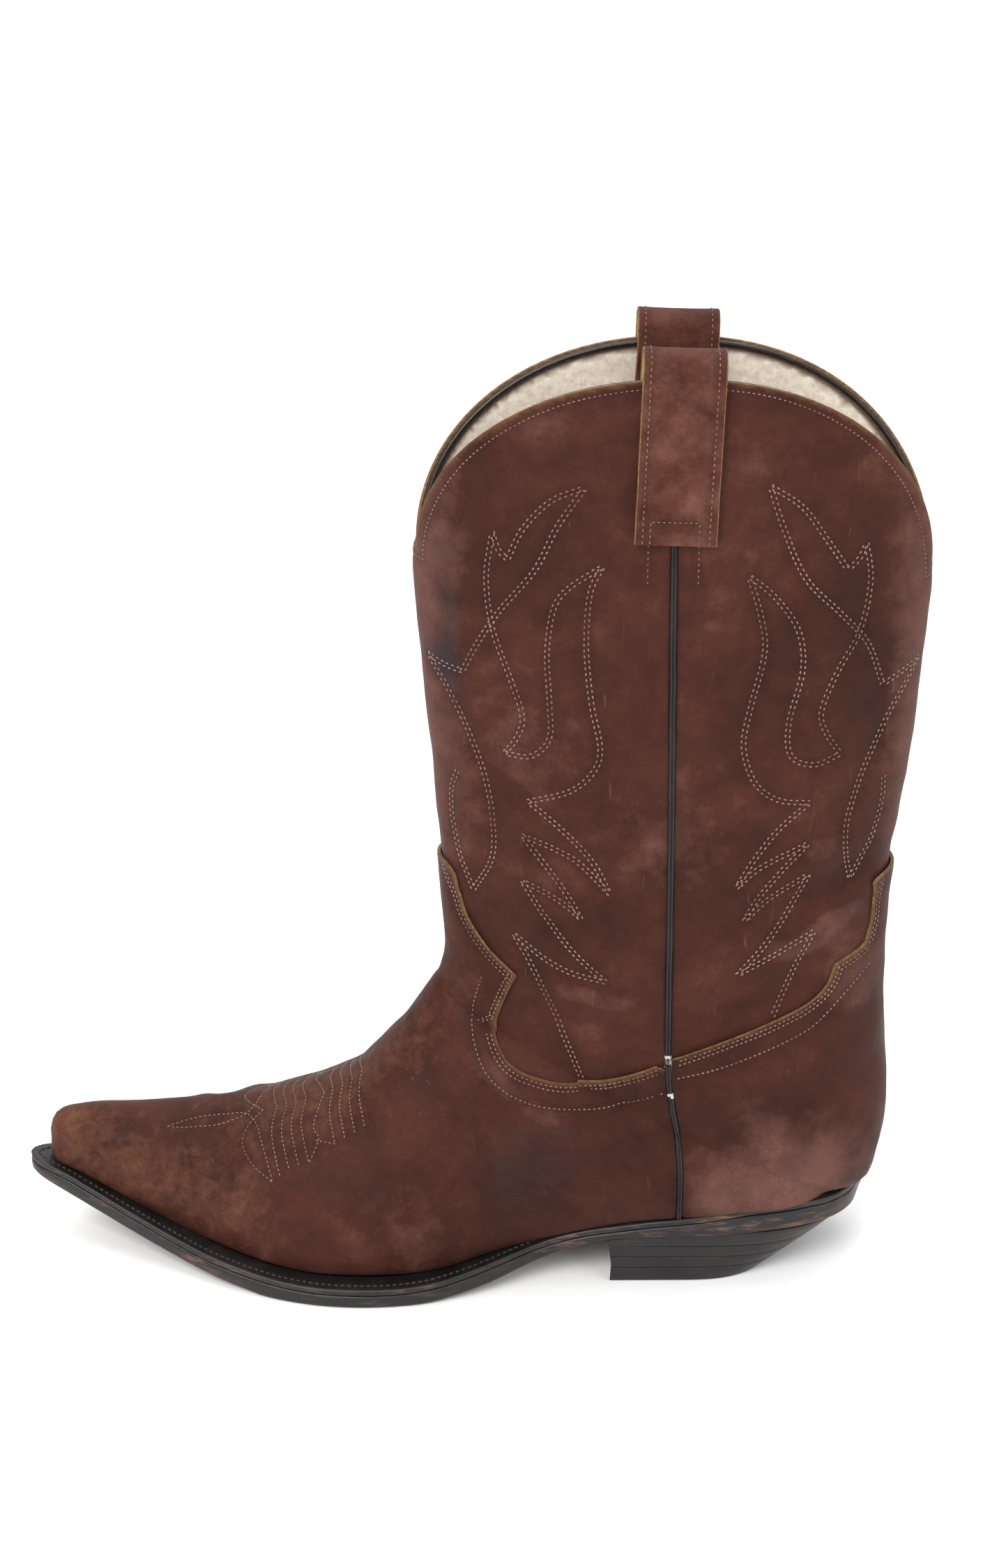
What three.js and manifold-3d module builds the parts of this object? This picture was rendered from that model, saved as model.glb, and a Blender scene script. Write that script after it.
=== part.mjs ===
// Western boot with a twelve inch shaft: welted and stacked-heel construction.
//
// Frame: millimetres, +Z up. The toe points to -X, the outer (lateral) side faces -Y and the
// origin is the centre of the heel's flat walking face, on the ground.
//
// The boot is built as it is on a bench. One smooth surface, the last, gives the inside shape.
// Each leather layer is a thin wall between two offsets of that surface, and each piece is cut
// out of its layer by a side-view outline. The bottom is a stack of slabs between height profiles.

import * as THREE from 'three';
import { mergeVertices } from 'three/addons/utils/BufferGeometryUtils.js';
import Module from 'manifold-3d';

const wasm = await Module();
wasm.setup();

// ------------------------------------------------------------------ driving dimensions

const GAP = 0.3; // clearance kept between touching pieces
const UPPER_LEATHER = 1.6; // shaft, vamp and heel cover
const LINING_LEATHER = 1.2;
const SEAM_HALF_WIDTH = 1.5; // channel that the seam piping lies in
const PIPING_RADIUS = 1.1;
const BEAD_RADIUS = 1.1; // bead along the inside of the top edge

const WELT_THICKNESS = 2.4;
const INSOLE_THICKNESS = 2.4;
const SOCK_THICKNESS = 1.2;
const WELT_INNER_SET = 5; // how far the welt reaches in under the upper
const INSOLE_INSET = 4; // from the last's feather line

const SHAFT_TOP = 338; // height of the scallops' peaks at the sides
const DIP_FRONT = { x: -96.6, z: 273 };
const DIP_BACK = { x: 76, z: 266 };
const SCALLOP_FULLNESS = 2.2; // exponent of the scallop's superellipse

const STRAP_WIDTH = 27;
const STRAP_LEATHER = 1.5;
const STRAP_LINING = 0.8;
const STRAP_CREST = 348;
const STRAP_FOOT = 283; // lower edge of the strap's outer leg
const STRAP_INNER_FOOT = 268;
const STRAP_CENTRE_X = -11.5;
const STRAP_LEAN = 0.033; // the loop leans back towards its crest, radians
const STRAP_ROOM_INSIDE = 4.4; // between the lining and the inner leg at the top edge

const HEEL_TOP_LIFT = 5.4;
const HEEL_LIFT = 4.2;
const NAIL_RADIUS = 0.9;
const NAIL_HEAD_RADIUS = 1.9;
const NAIL_HEAD_HEIGHT = 1;
const NAIL_RECESS = 0.5; // how far a head lies below the face it is driven through
const NAIL_SIDES = 8;
const SEAT_NAIL_POINT = 8;
const LIFT_NAIL_POINT = 13;

const FAR = 400; // reach of the cutting prisms
const FINEST = 0.02; // cut edges shorter than this are closed up

// The last, as cross-sections from the toe to the top line. Each section hangs between a point
// on the front ridge and a point on the keel (the feather line, then the back seam):
//   ridge x, z | keel x, z | centre y | outer side | inner side
// and each side is  crown width, drop, widest, edge y.
const SECTIONS = [
  [[-227.5, 40.0], [-227.5, 28.6], 9.5, [0, 0.5, 0, 9.5], [0, 0.5, 0, 9.5]],
  [[-225.5, 43.8], [-225.5, 27.8], 9.5, [4.5, 0.3, 5.5, 6.5], [4, 0.3, 5, 13]],
  [[-217.5, 45.0], [-217.5, 24.6], 9.5, [7.5, 0.3, 9.5, 4.5], [7, 0.3, 8.5, 16]],
  [[-204, 46.0], [-204, 19.4], 8.5, [10, 0.33, 15.5, -0.5], [9.5, 0.33, 13.5, 19.5]],
  [[-185, 47.5], [-185, 13.7], 7, [13.5, 0.38, 25, -9.5], [12.5, 0.38, 22, 26]],
  [[-165, 50.0], [-165, 10.0], 5.5, [17, 0.42, 35, -20.5], [16, 0.4, 30, 32.5]],
  [[-145, 54.0], [-145, 8.0], 4, [20, 0.46, 44, -30], [19, 0.42, 40, 36.5]],
  [[-125, 62.0], [-125, 7.5], 3, [22, 0.5, 50, -34.5], [22, 0.45, 45.5, 36.5]],
  [[-112, 72.4], [-94, 8.3], 2, [23, 0.52, 49.5, -33.5], [23, 0.5, 43.5, 31]],
  [[-102.5, 84.3], [-62, 14.8], 1, [24, 0.55, 44.5, -26.5], [24, 0.55, 39, 25]],
  [[-95, 94.5], [-24, 23.5], 0.5, [24.5, 0.6, 39.5, -27.5], [24.5, 0.6, 37, 26.5]],
  [[-90.5, 101.5], [17, 26.0], 0, [25, 0.66, 38, -29.5], [25, 0.66, 37, 29]],
  [[-88.8, 104.6], [41, 26.8], 0, [25.5, 0.76, 42, -24.5], [25.5, 0.76, 41, 24]],
  [[-88, 106], [59, 28.5], 0, [26, 1, 50, 0], [26, 1, 50, 0]],
  [[-86.4, 108.5], [65, 41], 0, [27.5, 1, 52, 0], [27.5, 1, 52, 0]],
  [[-85, 112.5], [66.8, 62], 0, [29, 1, 51, 0], [29, 1, 51, 0]],
  [[-83.8, 118], [64.5, 91], 0, [31.5, 1, 46, 0], [31.5, 1, 46, 0]],
  [[-83.5, 127], [63.3, 122], 0, [34, 1, 42, 0], [34, 1, 42, 0]],
  [[-86, 150], [65, 150], 0, [35, 1, 40, 0], [35, 1, 40, 0]],
  [[-89.5, 190], [69.5, 190], 0, [34, 1, 38, 0], [34, 1, 38, 0]],
  [[-93.5, 235], [73.2, 235], 0, [31, 1, 34.5, 0], [31, 1, 34.5, 0]],
  [[-96.3, 285], [75.5, 285], 0, [28.5, 1, 31, 0], [28.5, 1, 31, 0]],
  [[-97.5, 342], [76.5, 342], 0, [26.5, 1, 28.5, 0], [26.5, 1, 28.5, 0]],
];
const CLOSED_FROM = 13; // from this section up the two edges meet at the back seam
const TOP_SECTION = SECTIONS.length - 1;

// Side-view outlines, x and z.
const SEAM = [[-12.5, 352], [-11.5, 260], [-10.5, 160], [-10, 92], [-8.5, 75], [-6, 60], [-5, 46], [-5, 10]];
const VAMP_TOP = [
  [-112, 158], [-88, 158], [-84, 149], [-77, 134], [-63, 120], [-67, 108], [-70.4, 98], [-68, 91],
  [-62, 85], [-51, 82], [-41, 81], [-26, 84.5], [-10, 92],
];
const COUNTER_TOP = [
  [-10, 92], [12, 101], [34, 109], [43, 115], [48, 125], [59, 129], [61, 138], [64, 154], [95, 156],
];
const FRONT_TUCK = [
  [-112, 147], [-92, 147], [-86, 140], [-80, 128], [-79, 110], [-80, 97], [-76, 84], [-66, 75], [-50, 71],
  [-35, 71], [-22, 75], [-9, 80],
];
const BACK_TUCK = [[-9, 81], [15, 90], [38, 98], [52, 107], [60, 116], [95, 119]];
const TOE_BOX_BACK = -165;
const COUNTER_STIFFENER_TOP = [[-4, 58], [12, 76], [30, 90], [48, 100], [95, 104]];

// Plan of the outsole, x and y, from the toe along each side to the middle of the heel seat.
const SOLE_OUTER = [
  [-238.5, 10], [-237, 5], [-232, 1], [-225, -2.5], [-212, -8], [-198, -15.5], [-185, -23], [-172, -31],
  [-159, -37.5], [-147, -42.5], [-134, -46], [-122, -47.5], [-110, -47.5], [-97, -46], [-85, -43],
  [-72, -38.5], [-60, -33.5], [-50, -31], [-38, -31], [-25, -32.5], [0, -34], [25, -33], [45, -27], [57, -16],
  [63, 0],
];
const SOLE_INNER = [
  [57, 16], [45, 27], [25, 32.5], [0, 32.5], [-20, 30.5], [-35, 29.5], [-50, 29.5], [-65, 31.5],
  [-80, 35], [-95, 39.5], [-110, 44], [-125, 47], [-140, 47.5], [-155, 45], [-170, 41], [-185, 36],
  [-200, 30], [-215, 24.5], [-228, 20], [-236, 15.5],
];

// Height of the walking surface under the sole, x and z: toe spring, flat tread, waist, heel seat.
const SOLE_BOTTOM = [
  [-242, 25.5], [-225, 19.7], [-212, 14.4], [-198, 9.6], [-185, 6], [-172, 3.2], [-158, 1], [-147, 0], [-100, 0],
  [-85, 1.5], [-72, 4], [-60, 7.5], [-50, 11], [-40, 14.5], [-30, 17.5], [-10, 19.5], [10, 20],
  [40, 20.5], [70, 21],
];

// The heel block: breast, back and half width at a few heights, underslung towards the ground.
const HEEL_RINGS = [
  { z: 0, breast: -29, back: 30, halfWidth: 31 },
  { z: 7, breast: -28.6, back: 41, halfWidth: 31.5 },
  { z: 14, breast: -29.4, back: 52, halfWidth: 32 },
  { z: 22.5, breast: -31, back: 62.5, halfWidth: 33 },
];
const HEEL_SQUARENESS = 2.6; // exponent of the superellipse behind the breast
const HEEL_STRAIGHT = 0.45; // share of the heel's length that keeps its full width

const HEEL_NAILS = [[46, 0], [32, 17], [32, -17], [6, 22], [6, -22]];
const TOP_LIFT_NAILS = [[20, 0], [12, 17], [12, -17], [-14, 21], [-14, -21]];
const SHANK = { from: -82, to: 20, halfWidth: 7, thickness: 1.4 };

const COLOURS = {
  nubuck: 0x5c382d,
  piping: 0x231512,
  lining: 0xd9d2c2,
  strapLining: 0xc9a567,
  board: 0xa98c66,
  cork: 0x8c6a44,
  sole: 0x1d1a19,
  rubber: 0x141414,
  steel: 0x9a9da0,
};

// ------------------------------------------------------------------ the last's surface

const lerp = (from, to, share) => from + (to - from) * share;
const clamp = (value, low, high) => Math.min(high, Math.max(low, value));

function sectionValues(index) {
  const [ridge, keel, centre, outer, inner] = SECTIONS[clamp(index, 0, TOP_SECTION)];
  return [...ridge, ...keel, centre, ...outer, ...inner];
}

// One row of section values at a fractional section number, on Catmull-Rom curves.
function sectionAt(t) {
  const index = Math.min(Math.floor(t), TOP_SECTION - 1);
  const u = t - index;
  const here = sectionValues(index);
  const next = sectionValues(index + 1);
  const before = index > 0 ? sectionValues(index - 1) : here.map((v, k) => 2 * v - next[k]);
  const after = index < TOP_SECTION - 1 ? sectionValues(index + 2) : next.map((v, k) => 2 * v - here[k]);
  return here.map((value, k) => {
    const slopeHere = (next[k] - before[k]) / 2;
    const slopeNext = (after[k] - value) / 2;
    const u2 = u * u;
    const u3 = u2 * u;
    return (2 * u3 - 3 * u2 + 1) * value + (u3 - 2 * u2 + u) * slopeHere
      + (3 * u2 - 2 * u3) * next[k] + (u3 - u2) * slopeNext;
  });
}

// A point of the last: t runs toe to top, s from the outer edge (-1) over the ridge to the inner (+1).
function lastPoint(t, s) {
  const v = sectionAt(clamp(t, 0, TOP_SECTION));
  const side = s < 0 ? -1 : 1;
  const [crown, drop, widest, edgeY] = s < 0 ? v.slice(5, 9) : v.slice(9, 13);
  const edge = t < CLOSED_FROM ? edgeY : 0;
  const w = Math.abs(s);
  const b0 = (1 - w) ** 3;
  const b1 = 3 * w * (1 - w) ** 2;
  const b2 = 3 * w * w * (1 - w);
  const b3 = w ** 3;
  const along = b2 * drop + b3;
  const y = (b0 + b1 + b2) * v[4] + side * (b1 * crown + b2 * widest) + b3 * edge;
  return new THREE.Vector3(lerp(v[0], v[2], along), y, lerp(v[1], v[3], along));
}

function lastNormal(t, s) {
  const step = 1e-3;
  if (t <= 0) return new THREE.Vector3(-1, 0, 0);
  if (t >= CLOSED_FROM && Math.abs(s) === 1) {
    const up = lastPoint(t + step, 1).sub(lastPoint(t - step, 1));
    return new THREE.Vector3(up.z, 0, -up.x).normalize();
  }
  const along = lastPoint(t + step, s).sub(lastPoint(t - step, s));
  const around = lastPoint(t, Math.min(1, s + step)).sub(lastPoint(t, Math.max(-1, s - step)));
  return along.cross(around).normalize();
}

// The [t, s] whose point, offset from the last, is seen at a side-view x and z. Newton's method.
function locate(x, z, side, offset) {
  let [t, s] = [z > 100 ? 16 : 12, side * 0.55];
  const step = 1e-3;
  for (let k = 0; k < 25; k += 1) {
    const here = offsetPoint(t, s, offset);
    const byT = offsetPoint(t + step, s, offset).sub(here).divideScalar(step);
    const byS = offsetPoint(t, s + step, offset).sub(here).divideScalar(step);
    const [missX, missZ] = [x - here.x, z - here.z];
    const area = byT.x * byS.z - byS.x * byT.z;
    t = clamp(t + clamp((missX * byS.z - byS.x * missZ) / area, -1, 1), 1, TOP_SECTION - step);
    s = side * clamp(side * (s + clamp((byT.x * missZ - missX * byT.z) / area, -0.1, 0.1)), 0.01, 0.995);
  }
  return [t, s];
}

const offsetPoint = (t, s, distance) => lastPoint(t, s).addScaledVector(lastNormal(t, s), distance);

// ------------------------------------------------------------------ solids

// Joins vertices that lie together and drops the triangles that this closes up.
function weld(geometry) {
  const merged = mergeVertices(geometry, 1e-4);
  const corners = merged.index.array;
  const kept = [];
  for (let k = 0; k < corners.length; k += 3) {
    const [a, b, c] = [corners[k], corners[k + 1], corners[k + 2]];
    if (a !== b && b !== c && c !== a) kept.push(a, b, c);
  }
  return merged.setIndex(kept);
}

function solidOf(geometry) {
  const bare = geometry.index ? geometry.toNonIndexed() : geometry;
  bare.deleteAttribute('normal');
  bare.deleteAttribute('uv');
  const merged = weld(bare);
  const vertProperties = new Float32Array(merged.attributes.position.array);
  const triVerts = new Uint32Array(merged.index.array);
  return new wasm.Manifold(new wasm.Mesh({ numProp: 3, vertProperties, triVerts }));
}

function solidOfTriangles(triangles) {
  const geometry = new THREE.BufferGeometry();
  const numbers = triangles.flatMap((triangle) => triangle.flatMap((p) => [p.x, p.y, p.z]));
  geometry.setAttribute('position', new THREE.Float32BufferAttribute(numbers, 3));
  return solidOf(geometry);
}

const shapeOf = (outline) => new THREE.Shape(outline.map(([a, b]) => new THREE.Vector2(a, b)));

// A plan outline raised between two heights.
function prismUp(outline, low, high) {
  const geometry = new THREE.ExtrudeGeometry(shapeOf(outline), { depth: high - low, bevelEnabled: false });
  return solidOf(geometry.translate(0, 0, low));
}

// A side-view outline (x, z) carried across from one y to another.
function prismAcross(outline, low = -FAR, high = FAR) {
  const geometry = new THREE.ExtrudeGeometry(shapeOf(outline), { depth: high - low, bevelEnabled: false });
  return solidOf(geometry.rotateX(Math.PI / 2).translate(0, high, 0));
}

// A closed solid through rings of equal point counts, each ring counter-clockwise seen from its far end.
function loft(rings) {
  const triangles = [];
  const count = rings[0].length;
  for (let i = 0; i + 1 < rings.length; i += 1) {
    for (let j = 0; j < count; j += 1) {
      const k = (j + 1) % count;
      triangles.push([rings[i][j], rings[i][k], rings[i + 1][k]], [rings[i][j], rings[i + 1][k], rings[i + 1][j]]);
    }
  }
  const last = rings[rings.length - 1];
  for (let j = 1; j + 1 < count; j += 1) {
    triangles.push([rings[0][0], rings[0][j + 1], rings[0][j]], [last[0], last[j], last[j + 1]]);
  }
  return solidOfTriangles(triangles);
}

// A wall between two offsets of the last, over a run of sections and the whole way round. On the
// foot it hangs on below the feather line, so that it can be cut off level with it.
const HEM = 5;
const COLUMNS_HALF = [0, 0.05, 0.13, 0.24, 0.37, 0.5, 0.63, 0.76, 0.87, 0.95, 1];
const COLUMNS = [...COLUMNS_HALF.slice(1).reverse().map((s) => -s), ...COLUMNS_HALF];

function rowsBetween(from, to) {
  const rows = [];
  for (let t = 0; t <= TOP_SECTION; t += t >= 12 && t < 15 ? 0.5 : 1) rows.push(t);
  return [from, ...rows.filter((t) => t > from + 0.2 && t < to - 0.2), to];
}

function wall(innerOffset, outerOffset, from, to) {
  const rows = rowsBetween(from, to);
  const hem = (t, s, offset) => {
    const point = offsetPoint(t, s, offset);
    return t < CLOSED_FROM ? point.setZ(point.z - HEM) : point;
  };
  const grid = (offset) => rows.map((t) => [
    hem(t, -1, offset), ...COLUMNS.map((s) => offsetPoint(t, s, offset)), hem(t, 1, offset),
  ]);
  const outer = grid(outerOffset);
  const inner = grid(innerOffset);
  const triangles = [];
  const quad = (a, b, c, d) => triangles.push([a, b, c], [a, c, d]);
  const end = COLUMNS.length + 1;
  const top = rows.length - 1;
  for (let i = 0; i < top; i += 1) {
    for (let j = 0; j < end; j += 1) {
      quad(outer[i][j], outer[i + 1][j], outer[i + 1][j + 1], outer[i][j + 1]);
      quad(inner[i][j], inner[i][j + 1], inner[i + 1][j + 1], inner[i + 1][j]);
    }
    if (rows[i] < CLOSED_FROM) {
      quad(outer[i + 1][0], outer[i][0], inner[i][0], inner[i + 1][0]);
      quad(outer[i][end], outer[i + 1][end], inner[i + 1][end], inner[i][end]);
    }
  }
  for (let j = 0; j < end; j += 1) {
    quad(outer[top][j + 1], outer[top][j], inner[top][j], inner[top][j + 1]);
    if (from > 0) quad(outer[0][j], outer[0][j + 1], inner[0][j + 1], inner[0][j]);
  }
  return solidOfTriangles(triangles);
}

// A cord lying on an offset of the last: rings of a small polygon that follow the surface.
function cordAlong(path, offset, radius, sides = 8) {
  const points = path.map(([t, s]) => offsetPoint(t, s, offset));
  const rings = path.map(([t, s], i) => {
    const ahead = points[Math.min(i + 1, points.length - 1)].clone().sub(points[Math.max(i - 1, 0)]).normalize();
    const out = lastNormal(t, s);
    out.addScaledVector(ahead, -out.dot(ahead)).normalize();
    const across = new THREE.Vector3().crossVectors(ahead, out);
    return Array.from({ length: sides }, (_, k) => {
      const angle = (2 * Math.PI * (k + 0.5)) / sides;
      return points[i].clone()
        .addScaledVector(out, radius * Math.cos(angle))
        .addScaledVector(across, radius * Math.sin(angle));
    });
  });
  return loft(rings);
}

// ------------------------------------------------------------------ curves shared by the pieces

// Height of the scalloped top edge over x; a positive inset gives the parallel edge inside it.
function topEdge(x, inset = 0) {
  const front = DIP_FRONT.x + inset;
  const back = DIP_BACK.x - inset;
  const u = clamp((2 * (x - front)) / (back - front) - 1, -1, 1);
  const dip = lerp(DIP_FRONT.z, DIP_BACK.z, (u + 1) / 2) - inset;
  return dip + (SHAFT_TOP - inset - dip) * Math.sqrt(1 - Math.abs(u) ** SCALLOP_FULLNESS);
}

function topEdgeOutline(from, to, inset) {
  const front = DIP_FRONT.x + inset;
  const back = DIP_BACK.x - inset;
  const steps = 30;
  const outline = Array.from({ length: steps + 1 }, (_, k) => {
    const x = lerp(front, back, (1 - Math.cos((Math.PI * k) / steps)) / 2);
    return [x, topEdge(x, inset)];
  }).filter(([x]) => x > from && x < to);
  const start = from < front ? [[from, DIP_FRONT.z - inset]] : [[from, topEdge(from, inset)]];
  const finish = to > back ? [[to, DIP_BACK.z - inset]] : [[to, topEdge(to, inset)]];
  return [...start, ...outline, ...finish];
}

// Section number at which column s of the last reaches the top edge.
function topEdgeSection(s, inset) {
  let low = 17.5;
  let high = TOP_SECTION;
  for (let k = 0; k < 40; k += 1) {
    const middle = (low + high) / 2;
    const point = lastPoint(middle, s);
    if (point.z > topEdge(point.x, inset)) high = middle;
    else low = middle;
  }
  return (low + high) / 2;
}

const shifted = (outline, dx, dz) => outline.map(([x, z]) => [x + dx, z + dz]);
const reversed = (outline) => [...outline].reverse();

// The side seam in side view, shifted along x, from one height to another.
function seamRun(from, to, shift) {
  const upward = reversed(SEAM);
  const seamX = (z) => {
    const next = upward.findIndex((point) => point[1] >= z);
    if (next <= 0) return upward[0][0];
    const [[x0, z0], [x1, z1]] = [upward[next - 1], upward[next]];
    return lerp(x0, x1, (z - z0) / (z1 - z0));
  };
  const between = upward.filter(([, z]) => z > Math.min(from, to) && z < Math.max(from, to));
  const middle = from < to ? between : reversed(between);
  return shifted([[seamX(from), from], ...middle, [seamX(to), to]], shift, 0);
}

// Height over x along a profile of straight runs.
function heightAt(profile, x) {
  const next = profile.findIndex((point) => point[0] >= x);
  if (next <= 0) return profile[0][1];
  const [[x0, z0], [x1, z1]] = [profile[next - 1], profile[next]];
  return lerp(z0, z1, (x - x0) / (x1 - x0));
}

// The feather line over x, where the upper meets the welt; it runs on past the toe under the welt's lip.
const FEATHER = [
  [-242, 33.4],
  ...SECTIONS.slice(1, CLOSED_FROM + 1).map(([, [x, z]]) => [x + 0.6, z + 0.1]),
  [70, 29.4],
];
const weltTop = FEATHER.map(([x, z]) => [x, z - GAP]);
const weltBottom = shifted(weltTop, 0, -WELT_THICKNESS);
const soleTop = shifted(weltBottom, 0, -GAP);

const bandBetween = (lower, upper) => prismAcross([...lower, ...reversed(upper)]);

// Plan outline inside the feather line by a distance, from a section near the toe backwards.
function featherPlan(inset, first) {
  const side = (s) => {
    const points = [];
    for (let t = first; t < CLOSED_FROM; t += t >= 11 ? 0.5 : 1) {
      const inward = lastNormal(t, s).setZ(0).normalize();
      const point = lastPoint(t, s).addScaledVector(inward, -inset);
      points.push([point.x, point.y]);
    }
    return points;
  };
  return [...side(-1), [SECTIONS[CLOSED_FROM][1][0] - inset, 0], ...reversed(side(1))];
}

// ------------------------------------------------------------------ upper

const SHAFT_PIPING_HEIGHTS = [93, 105, 120, 145, 170, 200, 240, 280, 310, 334];
const BEAD_COLUMNS = [0.495, 0.42, 0.35, 0.29, 0.24, 0.2, 0.16, 0.13, 0.1, 0.075, 0.05, 0.025];
const FOOT_PIPING_HEIGHTS = [29, 38, 48, 58, 68, 79, 90];

const innerOf = { lining: -GAP - LINING_LEATHER, shaft: 0, foot: UPPER_LEATHER + GAP };
const outerOf = { lining: -GAP, shaft: UPPER_LEATHER, foot: 2 * UPPER_LEATHER + GAP };
const aboveFeather = prismAcross([...FEATHER, [FAR, 30], [FAR, FAR], [-FAR, FAR], [-FAR, 34]]);
const layer = (name, from, to) => wall(innerOf[name], outerOf[name], from, to).intersect(aboveFeather);

const FOOT_TOP_SECTION = 18.7;
const SHAFT_LOW_SECTION = 9.5;

const SEAM_FOOT = -20; // below every piece that the seam divides
const SEAM_HEAD = 330; // the seam's cut meets the top edge just above this height

function vampOutline(halfSeam) {
  const join = VAMP_TOP[VAMP_TOP.length - 1][1];
  return [[-FAR, SEAM_FOOT], ...seamRun(SEAM_FOOT, join, -halfSeam), ...reversed(VAMP_TOP.slice(0, -1)),
    [-FAR, VAMP_TOP[0][1]]];
}

function counterOutline(halfSeam) {
  const join = COUNTER_TOP[0][1];
  return [[FAR, SEAM_FOOT], [FAR, 156], ...reversed(COUNTER_TOP.slice(1)), ...seamRun(join, SEAM_FOOT, halfSeam)];
}

function frontShaftOutline(low, inset, halfSeam) {
  const top = topEdgeOutline(-FAR, SEAM[0][0] - halfSeam, inset);
  return [...low.slice(0, -1), ...seamRun(low[low.length - 1][1], SEAM_HEAD, -halfSeam), ...reversed(top)];
}

function backShaftOutline(low, inset, halfSeam) {
  const top = topEdgeOutline(SEAM[0][0] + halfSeam, FAR, inset);
  return [...top, ...reversed(low.slice(1)), ...seamRun(low[0][1], SEAM_HEAD, halfSeam)];
}

function makeUpper() {
  const foot = layer('foot', 0, FOOT_TOP_SECTION);
  const shaft = layer('shaft', SHAFT_LOW_SECTION, TOP_SECTION);
  return {
    vamp: foot.intersect(prismAcross(vampOutline(SEAM_HALF_WIDTH))),
    heel_cover: foot.intersect(prismAcross(counterOutline(SEAM_HALF_WIDTH))),
    front_shaft_panel: shaft.intersect(prismAcross(frontShaftOutline(FRONT_TUCK, 0, SEAM_HALF_WIDTH))),
    back_shaft_panel: shaft.intersect(prismAcross(backShaftOutline(BACK_TUCK, 0, SEAM_HALF_WIDTH))),
  };
}

function makeStiffeners() {
  const wallLayer = layer('shaft', 0, FOOT_TOP_SECTION);
  const toe = prismAcross([[-FAR, -20], [TOE_BOX_BACK, -20], [TOE_BOX_BACK, FAR], [-FAR, FAR]]);
  const plumperTop = shifted(FRONT_TUCK.slice(0, -1), -1.3, -1.3);
  const plumper = prismAcross([
    [TOE_BOX_BACK + GAP, -20], [-6, -20], [-6, 58], [-10, 78], ...reversed(plumperTop.slice(1)),
    [-97, 150], [TOE_BOX_BACK + GAP, 150],
  ]);
  const heel = prismAcross([[-4, -20], [FAR, -20], [FAR, 104], ...reversed(COUNTER_STIFFENER_TOP)]);
  return {
    toe_box: wallLayer.intersect(toe),
    vamp_interlining: wallLayer.intersect(plumper),
    counter_stiffener: wallLayer.intersect(heel),
  };
}

function makeLinings() {
  const skin = layer('lining', 0, TOP_SECTION);
  const rimInset = 2 * BEAD_RADIUS + 4 * GAP;
  const vampRegion = prismAcross(vampOutline(GAP));
  const shaftLow = shifted(VAMP_TOP, 0.4, 0.4);
  const backLow = [[0, SEAM_FOOT], [FAR, SEAM_FOOT]];
  return {
    vamp_lining: skin.intersect(vampRegion),
    front_shaft_lining: skin.intersect(prismAcross(frontShaftOutline(shaftLow, rimInset, 0))),
    back_shaft_lining: skin.intersect(prismAcross(backShaftOutline(backLow, rimInset, GAP))),
  };
}

function makePiping() {
  const pieces = {};
  const cord = (heights, side, offset) => {
    const path = heights.map((z) => locate(seamRun(z, z, 0)[0][0], z, side, offset));
    return cordAlong(path, offset, PIPING_RADIUS, 6);
  };
  for (const [name, side] of [['outer', -1], ['inner', 1]]) {
    pieces[`shaft_piping_${name}`] = cord(SHAFT_PIPING_HEIGHTS, side, PIPING_RADIUS);
    pieces[`foot_piping_${name}`] = cord(FOOT_PIPING_HEIGHTS, side, innerOf.foot + PIPING_RADIUS);
  }
  return pieces;
}

function makeTopBead() {
  const inset = GAP + BEAD_RADIUS;
  const offset = -2 * GAP - BEAD_RADIUS;
  const bead = (columns) => cordAlong(columns.map((s) => [topEdgeSection(s, inset), s]), offset, BEAD_RADIUS, 6);
  const front = BEAD_COLUMNS.map((s) => -s);
  const back = BEAD_COLUMNS.map((s) => 1 - s);
  return {
    top_bead_front: bead([...front, 0, ...reversed(BEAD_COLUMNS)]),
    top_bead_back: bead([...back, 1, ...reversed(back).map((s) => -s)]),
  };
}

// ------------------------------------------------------------------ pull straps

// Distance of the shaft's middle line from the centre plane at a height.
function shaftSideY(z, side) {
  let low = 16;
  let high = TOP_SECTION;
  for (let k = 0; k < 30; k += 1) {
    const middle = (low + high) / 2;
    if (lastPoint(middle, side * 0.5).z > z) high = middle;
    else low = middle;
  }
  return Math.abs(lastPoint(low, side * 0.5).y);
}

// The loop's own middle line as [distance from the centre plane, z], outer foot to inner foot.
function strapPath() {
  const thickness = STRAP_LEATHER + GAP + STRAP_LINING;
  const out = (z, clear) => [shaftSideY(z, -1) + outerOf.shaft + clear + thickness / 2, z];
  const inside = (z, clear) => [shaftSideY(z, -1) + innerOf.lining - clear - thickness / 2, z];
  const outerLeg = [out(STRAP_FOOT, 0.9), out(300, 1.1), out(320, 1.3), out(340, 1.5)];
  const innerLeg = [inside(339, STRAP_ROOM_INSIDE), inside(320, 3.7), inside(300, 2.3), inside(285, 1.5),
    inside(STRAP_INNER_FOOT, 1.3)];
  const [start, finish] = [outerLeg[3], innerLeg[0]];
  const crest = STRAP_CREST - thickness / 2;
  const arc = Array.from({ length: 7 }, (_, k) => {
    const angle = (Math.PI * (k + 1)) / 8;
    const share = (1 - Math.cos(angle)) / 2;
    return [lerp(start[0], finish[0], share), lerp(340, crest, Math.sin(angle) ** 0.7)];
  });
  return [...outerLeg, ...arc, ...innerLeg];
}

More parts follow.
